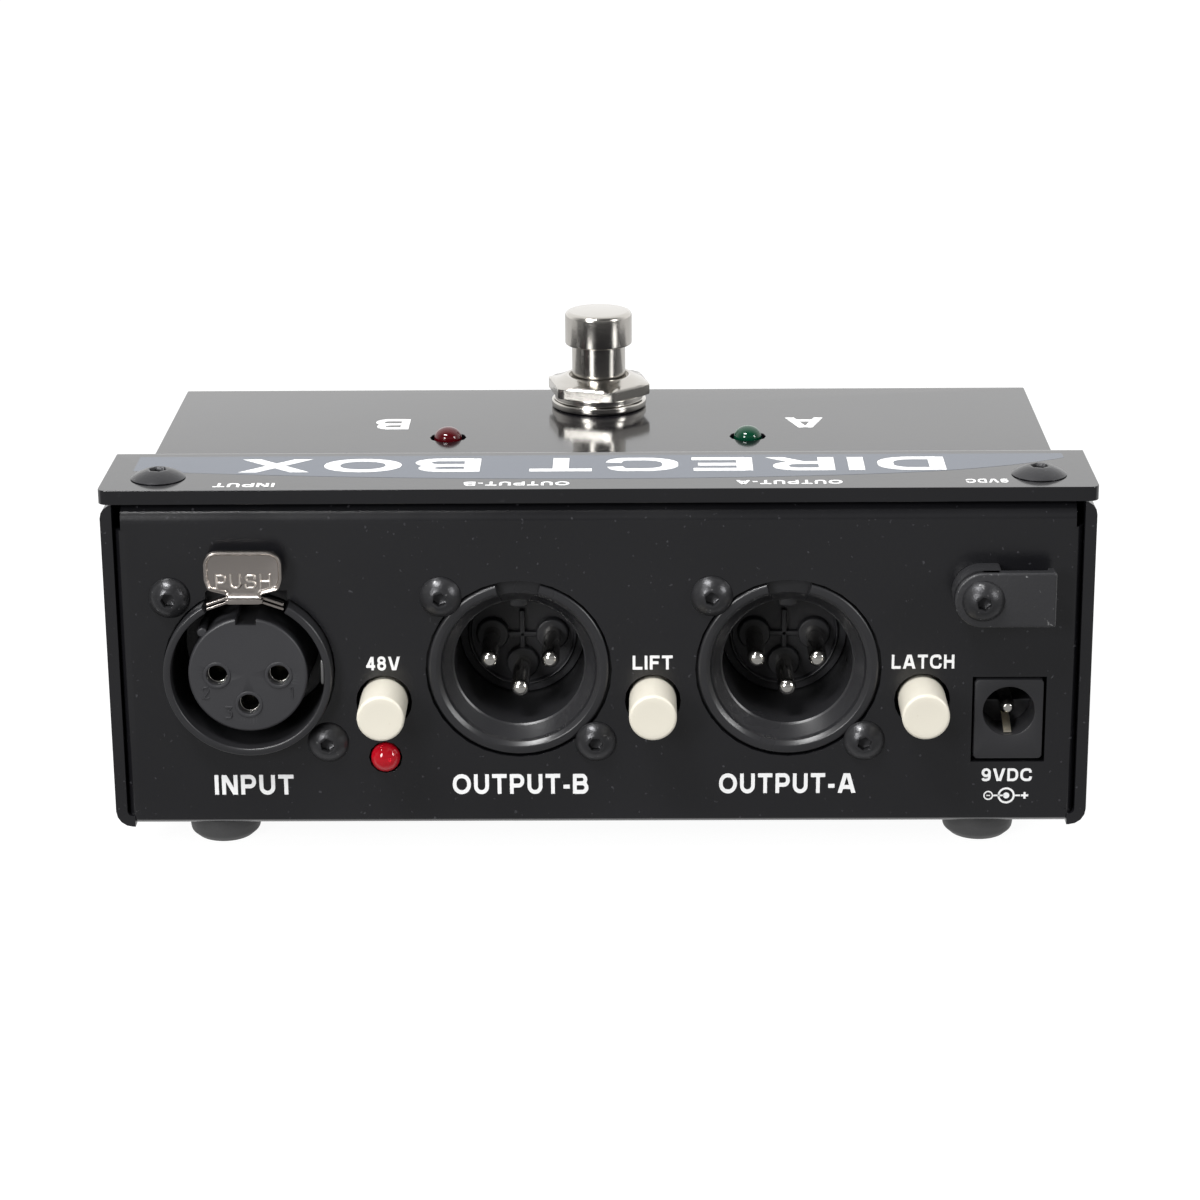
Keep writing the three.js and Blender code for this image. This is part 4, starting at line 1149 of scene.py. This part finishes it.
def dress_nut():
    """Hexagonal rings with chamfered rims, then circles that rise as a cone to the mouth of the nut."""
    flat, turn, low = 7.0, math.radians(12), WASHER_TOP + 0.05
    corner = flat / math.cos(math.pi / 6)
    rings = []
    for trim, w in ((0.5, 0.0), (0.15, 0.15), (0.0, 0.4), (0.0, 1.35), (0.15, 1.6), (0.55, 1.8)):
        points = hexagon(flat, turn=turn)
        radius = np.linalg.norm(points, axis=1)
        capped = np.minimum(radius, corner - trim)
        rings.append(ring(points * (capped / radius)[:, None] * (1 - 0.02 * (trim > 0.3)), low + w))
    cone = [(6.5, 1.95), (6.1, 2.15), (5.5, 2.4), (5.0, 2.65), (4.7, 2.7), (4.5, 2.6), (4.5, 0.0)]
    rings += [ring(circle(r), low + w) for r, w in cone]
    return shell(rings, wrap=True)


def plain_washer():
    """A spring washer and a plain washer under it, seen as one stack with a groove between."""
    profile = [(6.1, 0.02), (7.1, 0.02), (7.1, 1.15), (6.6, 1.25), (6.6, WASHER_TOP), (6.1, WASHER_TOP)]
    return turned(softened(profile, [0.2, 0.4, 0.3, 0.1, 0.2, 0.2], closed=True), wrap=True)


make("footswitch_plunger_turned", placed(plunger(), switch_axis), CHROME,
     body="footswitch", replaces=("footswitch_plunger",))
make("footswitch_nut_turned", placed(dress_nut(), switch_axis), CHROME,
     replaces=("footswitch_nut",))
make("footswitch_washer_turned", placed(plain_washer(), switch_axis), CHROME,
     replaces=("footswitch_washer",))
print("footswitch on", switch_axis.round(1))

# %% [markdown]
# ## Feet
# Four rubber buttons stand under the floor of the tray. A moulded foot has no sharp edge: its side is
# nearly straight and rounds over to a flat sole.

# %% Feet


def rubber_foot():
    """A turned profile: flat sole, rounded shoulder, straight side."""
    profile = [(0, 0), (3.6, 0), (4.6, 0.9), (4.75, 2.0), (4.75, FLOOR_Z - 0.02), (0, FLOOR_Z - 0.02)]
    return turned(softened(profile, [0, 0.7, 0.9, 0.6, 0.3, 0], steps=6))


for end in ("rear", "front"):
    for side in ("left", "right"):
        node = f"foot_{end}_{side}"
        sole = middle(node)
        sole[2] = 0
        make(node + "_moulded", placed(rubber_foot(), sole), RUBBER, replaces=(node,))
print("feet: 4")

# %% [markdown]
# ## Legends on the connector panel
# Only plain words for what a socket or button does are screen printed in white. Each word is a thin
# solid a few hundredths of a millimetre proud of the paint, as thick ink is. Under the power jack is
# the usual diagram of a plug's polarity, here with the minus at the centre.

# %% Legends on the connector panel


def bar(u_low, v_low, u_high, v_high, proud=0.03):
    """A flat printed bar."""
    outline = np.array([(u_low, v_low), (u_high, v_low), (u_high, v_high), (u_low, v_high)], float)
    return shell([ring(outline, -0.02), ring(outline, proud)])


def printed_ring(outside, inside, proud=0.03, angles=ROUND[::2]):
    """A flat printed ring: up its outer edge, across, and down its inner edge."""
    outer, inner = circle(outside, angles), circle(inside, angles)
    rings = [ring(outer, -0.02), ring(outer, proud), ring(inner, proud), ring(inner, -0.02)]
    return shell(rings, wrap=True)


def polarity_mark():
    """Centre negative: a ringed minus joined to the centre's dot, and a plus joined to the sleeve's ring."""
    dot = turned([(0, -0.02), (0.42, -0.02), (0.42, 0.03), (0, 0.03)], ROUND[::4])
    minus = [placed(printed_ring(0.64, 0.46), (-2.35, 0, 0)), bar(-2.6, -0.07, -2.1, 0.07)]
    lines = [bar(-1.74, -0.11, -0.3, 0.11), bar(1.1, -0.11, 1.85, 0.11)]
    plus = [bar(1.95, -0.14, 2.87, 0.14), bar(2.27, 0.14, 2.55, 0.46), bar(2.27, -0.46, 2.55, -0.14)]
    return merged(*minus, *lines, printed_ring(1.12, 0.86), dot, *plus)


def panel_word(text, x, z, width, height):
    """A word centred on a place of the panel."""
    return placed(lettering(text, width, height), (x, PANEL_Y, z), PANEL_FACE)


input_x, b_x, a_x = (on_panel(node + "_insert")[0] for node in ("input", "output_b", "output_a"))
button_xs = [on_panel(node + "_button_cap")[0] for node in ("phantom", "lift", "latch")]
panel_words = [
    panel_word("INPUT", input_x, 10.1, 10.4, 2.75),
    panel_word("OUTPUT-B", b_x, 10.1, 17.8, 2.75),
    panel_word("OUTPUT-A", a_x, 10.1, 17.9, 2.75),
    panel_word("48V", button_xs[0], 26.9, 4.4, 1.85),
    panel_word("LIFT", button_xs[1], 26.9, 5.2, 1.9),
    panel_word("LATCH", button_xs[2], 26.9, 8.1, 1.9),
    panel_word("9VDC", jack_origin[0], 11.2, 6.6, 1.75),
    placed(polarity_mark(), (jack_origin[0], PANEL_Y, 8.3), PANEL_FACE),
]
make("panel_legends", merged(*panel_words), WHITE_INK, sharp_angle=30)
print("panel legends:", len(panel_words))

# %% [markdown]
# ## Legends on the cover
# The words on the top read from the footswitch's side, where the player stands. A blue grey band with
# a curved edge is printed along the raised strip, and a plain title lies on it, so the band is thinner
# than the letters.

# %% Legends on the cover


def top_word(text, x, y, z, width, height):
    """A word centred on a level place of the cover, turned to be read from the front."""
    return placed(lettering(text, width, height), (x, y, z), TOP_READ_FROM_FRONT)


STRIP_DEPTH = 18.2
lamp_y = middle("deck_led_a")[1]
cover_words = [
    top_word("INPUT", input_x, PANEL_Y + 2.2, ROOF_Z, 7.9, 1.7),
    top_word("OUTPUT-B", b_x, PANEL_Y + 2.4, ROOF_Z, 13.6, 1.7),
    top_word("OUTPUT-A", a_x, PANEL_Y + 2.6, ROOF_Z, 13.6, 1.7),
    top_word("9VDC", jack_origin[0] - 3.4, PANEL_Y + 2.8, ROOF_Z, 5.4, 1.7),
    top_word("B", middle("deck_led_b")[0] - 8.6, lamp_y + 7.4, DECK_Z, 5.0, 5.6),
    top_word("A", middle("deck_led_a")[0] + 8.6, lamp_y + 7.4, DECK_Z, 5.6, 5.6),
]
make("cover_legends", merged(*cover_words), WHITE_INK, sharp_angle=30)


def band():
    """The near edge is 4.6 + 4.4 * (x / 60)^2 deep, plus 3.4 * (x / 58)^6 where x is positive."""
    x = np.linspace(-CASE_HALF + 3.4, CASE_HALF - 3.0, 90)
    near = 4.6 + 4.4 * (x / 60) ** 2 + 3.4 * np.maximum(x / 58, 0) ** 6
    far = np.full_like(x, STRIP_DEPTH - 2.4)
    near = np.minimum(near, far - 0.1)
    low, high = ROOF_Z - 0.02, ROOF_Z + 0.015
    section = [(near, low), (far, low), (far, high), (near, high)]
    edges = [np.stack([x, PANEL_Y + depth, np.full_like(x, z)], -1) for depth, z in section]
    return shell(np.stack(edges, axis=1))


make("cover_band", band(), BAND_INK, sharp_angle=30)
title = top_word("DIRECT BOX", -0.8, PANEL_Y + 11.2, ROOF_Z + 0.01, 92, 6.2)
make("cover_title", title, WHITE_INK, sharp_angle=30)
print("cover legends:", len(cover_words) + 1)

# %% [markdown]
# ## Pieces that keep their measured shape
# What has no finer copy is inside the case or plain: stems, switch bodies, the board, relays, the
# bushing, the spring and the tab's cross pin. They are shown by their measured meshes. Every measured
# piece takes the finish of its material slot.

# %% Dress the remaining pieces
SLOT_FINISH = {
    "chassis_paint": SATIN_PAINT,
    "cover_paint": PAINT,
    "connector_plastic": CONNECTOR,
    "insert_plastic": INSERT,
    "contact_metal": CONTACT,
    "latch_nickel": LATCH,
    "spring_steel": SPRING,
    "screw_black": OXIDE,
    "button_ivory": IVORY,
    "switch_plastic": SWITCH,
    "red_lens": RED_LENS,
    "green_lens": GREEN_LENS,
    "jack_plastic": JACK,
    "clamp_plastic": CLAMP,
    "switch_chrome": CHROME,
    "board_laminate": BOARD,
    "relay_plastic": RELAY,
    "foot_rubber": RUBBER,
}
for entry in frame["record"]["subparts"]:
    for material_slot in frame["nodes"][entry["node"]].material_slots:
        material_slot.link = "OBJECT"
        material_slot.material = SLOT_FINISH[entry["material_slot"]]
print("slots:", len(SLOT_FINISH))

# %% [markdown]
# ## Stage and light
# A pale floor and a bright surround make the gloss paint read as black from the side and as grey on the
# top, where it mirrors the surround at a low angle. Three soft lights, above, left and right of the
# viewer, draw the highlights on the screws and the chrome.

# %% Floor and surround


def emission(tree, strength):
    """An Emission node: white light of the strength given, which a link may replace."""
    node = tree.nodes.new("ShaderNodeEmission")
    node.inputs["Strength"].default_value = strength
    return node


def diffuse(tree, grey):
    """A Diffuse node of an even grey."""
    node = tree.nodes.new("ShaderNodeBsdfDiffuse")
    node.inputs["Color"].default_value = (grey, grey, grey, 1)
    return node


def blended(tree, factor, first, second):
    """A Mix Shader node. factor may be a number or a socket."""
    node = tree.nodes.new("ShaderNodeMixShader")
    if isinstance(factor, (int, float)):
        node.inputs["Fac"].default_value = factor
    else:
        tree.links.new(factor, node.inputs["Fac"])
    tree.links.new(first.outputs[0], node.inputs[1])
    tree.links.new(second.outputs[0], node.inputs[2])
    return node


def floor_material():
    """Nearly even white to the camera. To all else it glows 0.17 before the panel and 0.75 beyond it."""
    material = bpy.data.materials.new("pale_floor")
    material.use_nodes = True
    tree = material.node_tree
    tree.nodes.clear()
    split = tree.nodes.new("ShaderNodeSeparateXYZ")
    tree.links.new(tree.nodes.new("ShaderNodeTexCoord").outputs["Object"], split.inputs["Vector"])
    dim = emission(tree, 1.0)
    near = remap(tree, split.outputs["Y"], -0.052, -0.046, 0.17, 0.75)
    tree.links.new(near, dim.inputs["Strength"])
    mirrored = tree.nodes.new("ShaderNodeAddShader")
    tree.links.new(diffuse(tree, 0.08).outputs[0], mirrored.inputs[0])
    tree.links.new(dim.outputs[0], mirrored.inputs[1])
    seen = blended(tree, 0.14, emission(tree, 1.1), diffuse(tree, 0.9))
    camera_ray = tree.nodes.new("ShaderNodeLightPath").outputs["Is Camera Ray"]
    output = tree.nodes.new("ShaderNodeOutputMaterial")
    tree.links.new(blended(tree, camera_ray, mirrored, seen).outputs[0], output.inputs["Surface"])
    return material


def make_floor():
    """A square that is far wider than the view."""
    half = 3.0
    outline = [(-half, -half, 0), (half, -half, 0), (half, half, 0), (-half, half, 0)]
    mesh = bpy.data.meshes.new("floor")
    mesh.from_pydata(outline, [], [[0, 1, 2, 3]])
    mesh.materials.append(floor_material())
    object_of("floor", mesh)


def make_surround():
    """1.33 from behind the box. In front it is 0.28 at a rise of 0.27, falling to 0.1 away from that."""
    world = bpy.data.worlds.new("surround")
    bpy.context.scene.world = world
    world.use_nodes = True
    tree = world.node_tree
    background = tree.nodes["Background"]
    direction = tree.nodes.new("ShaderNodeTexCoord").outputs["Generated"]
    split = tree.nodes.new("ShaderNodeSeparateXYZ")
    tree.links.new(direction, split.inputs["Vector"])
    height = tree.nodes.new("ShaderNodeMath")
    height.operation = "SUBTRACT"
    height.inputs[1].default_value = 0.27
    tree.links.new(split.outputs["Z"], height.inputs[0])
    away = tree.nodes.new("ShaderNodeMath")
    away.operation = "ABSOLUTE"
    tree.links.new(height.outputs[0], away.inputs[0])
    front = remap(tree, away.outputs[0], 0.08, 0.3, 0.28, 0.1)
    level = remap(tree, split.outputs["Y"], -0.35, 0.35, front, 1.33)
    tree.links.new(level, background.inputs["Strength"])
    background.inputs["Color"].default_value = (1, 1, 1, 1)


def soft_light(name, place, size, energy):
    """A rectangular area light that faces the middle of the box."""
    data = bpy.data.lights.new(name, "AREA")
    data.shape = "RECTANGLE"
    data.size, data.size_y = size
    data.energy = energy
    light = bpy.data.objects.new(name, data)
    bpy.context.scene.collection.objects.link(light)
    light.location = place
    light.rotation_euler = (Vector((0, 0, 0.03)) - Vector(place)).to_track_quat("-Z", "Y").to_euler()


make_floor()
make_surround()
soft_light("key_light", (-0.28, -0.36, 0.8), (0.36, 0.2), 7.6)
soft_light("left_light", (-0.41, -0.69, 0.32), (0.2, 0.34), 4.3)
soft_light("right_light", (0.7, -0.39, 0.34), (0.18, 0.34), 2.6)
bpy.context.scene.view_settings.view_transform = "Standard"
print("lights:", len(bpy.data.lights))

# %% [markdown]
# ## Camera
# The camera stands in front of the panel, a little to the right of its middle, and looks down on it by
# 18 degrees. Its lens is a moderate telephoto, so the sides stay nearly upright.

# %% Camera
PITCH, YAW, ROLL = (math.radians(angle) for angle in (18.02, -0.84, -0.47))
LENS = 99.6


def make_camera():
    """Looks along (sin yaw cos pitch, cos yaw cos pitch, -sin pitch), then rolls about that line."""
    forward = Vector((math.sin(YAW) * math.cos(PITCH), math.cos(YAW) * math.cos(PITCH), -math.sin(PITCH)))
    right = Vector((math.cos(YAW), -math.sin(YAW), 0))
    up = right.cross(forward)
    rolled_right = right * math.cos(ROLL) + up * math.sin(ROLL)
    rolled_up = up * math.cos(ROLL) - right * math.sin(ROLL)
    data = bpy.data.cameras.new("camera")
    data.lens = LENS
    data.sensor_width = 36
    camera = bpy.data.objects.new("camera", data)
    bpy.context.scene.collection.objects.link(camera)
    turn = Matrix((rolled_right, rolled_up, -forward)).transposed()
    eye = Vector((6.2, PANEL_Y - 406.8, 167.8)) * MM
    camera.matrix_world = Matrix.Translation(eye) @ turn.to_4x4()
    bpy.context.scene.camera = camera


make_camera()
print("camera:", LENS, "mm lens")
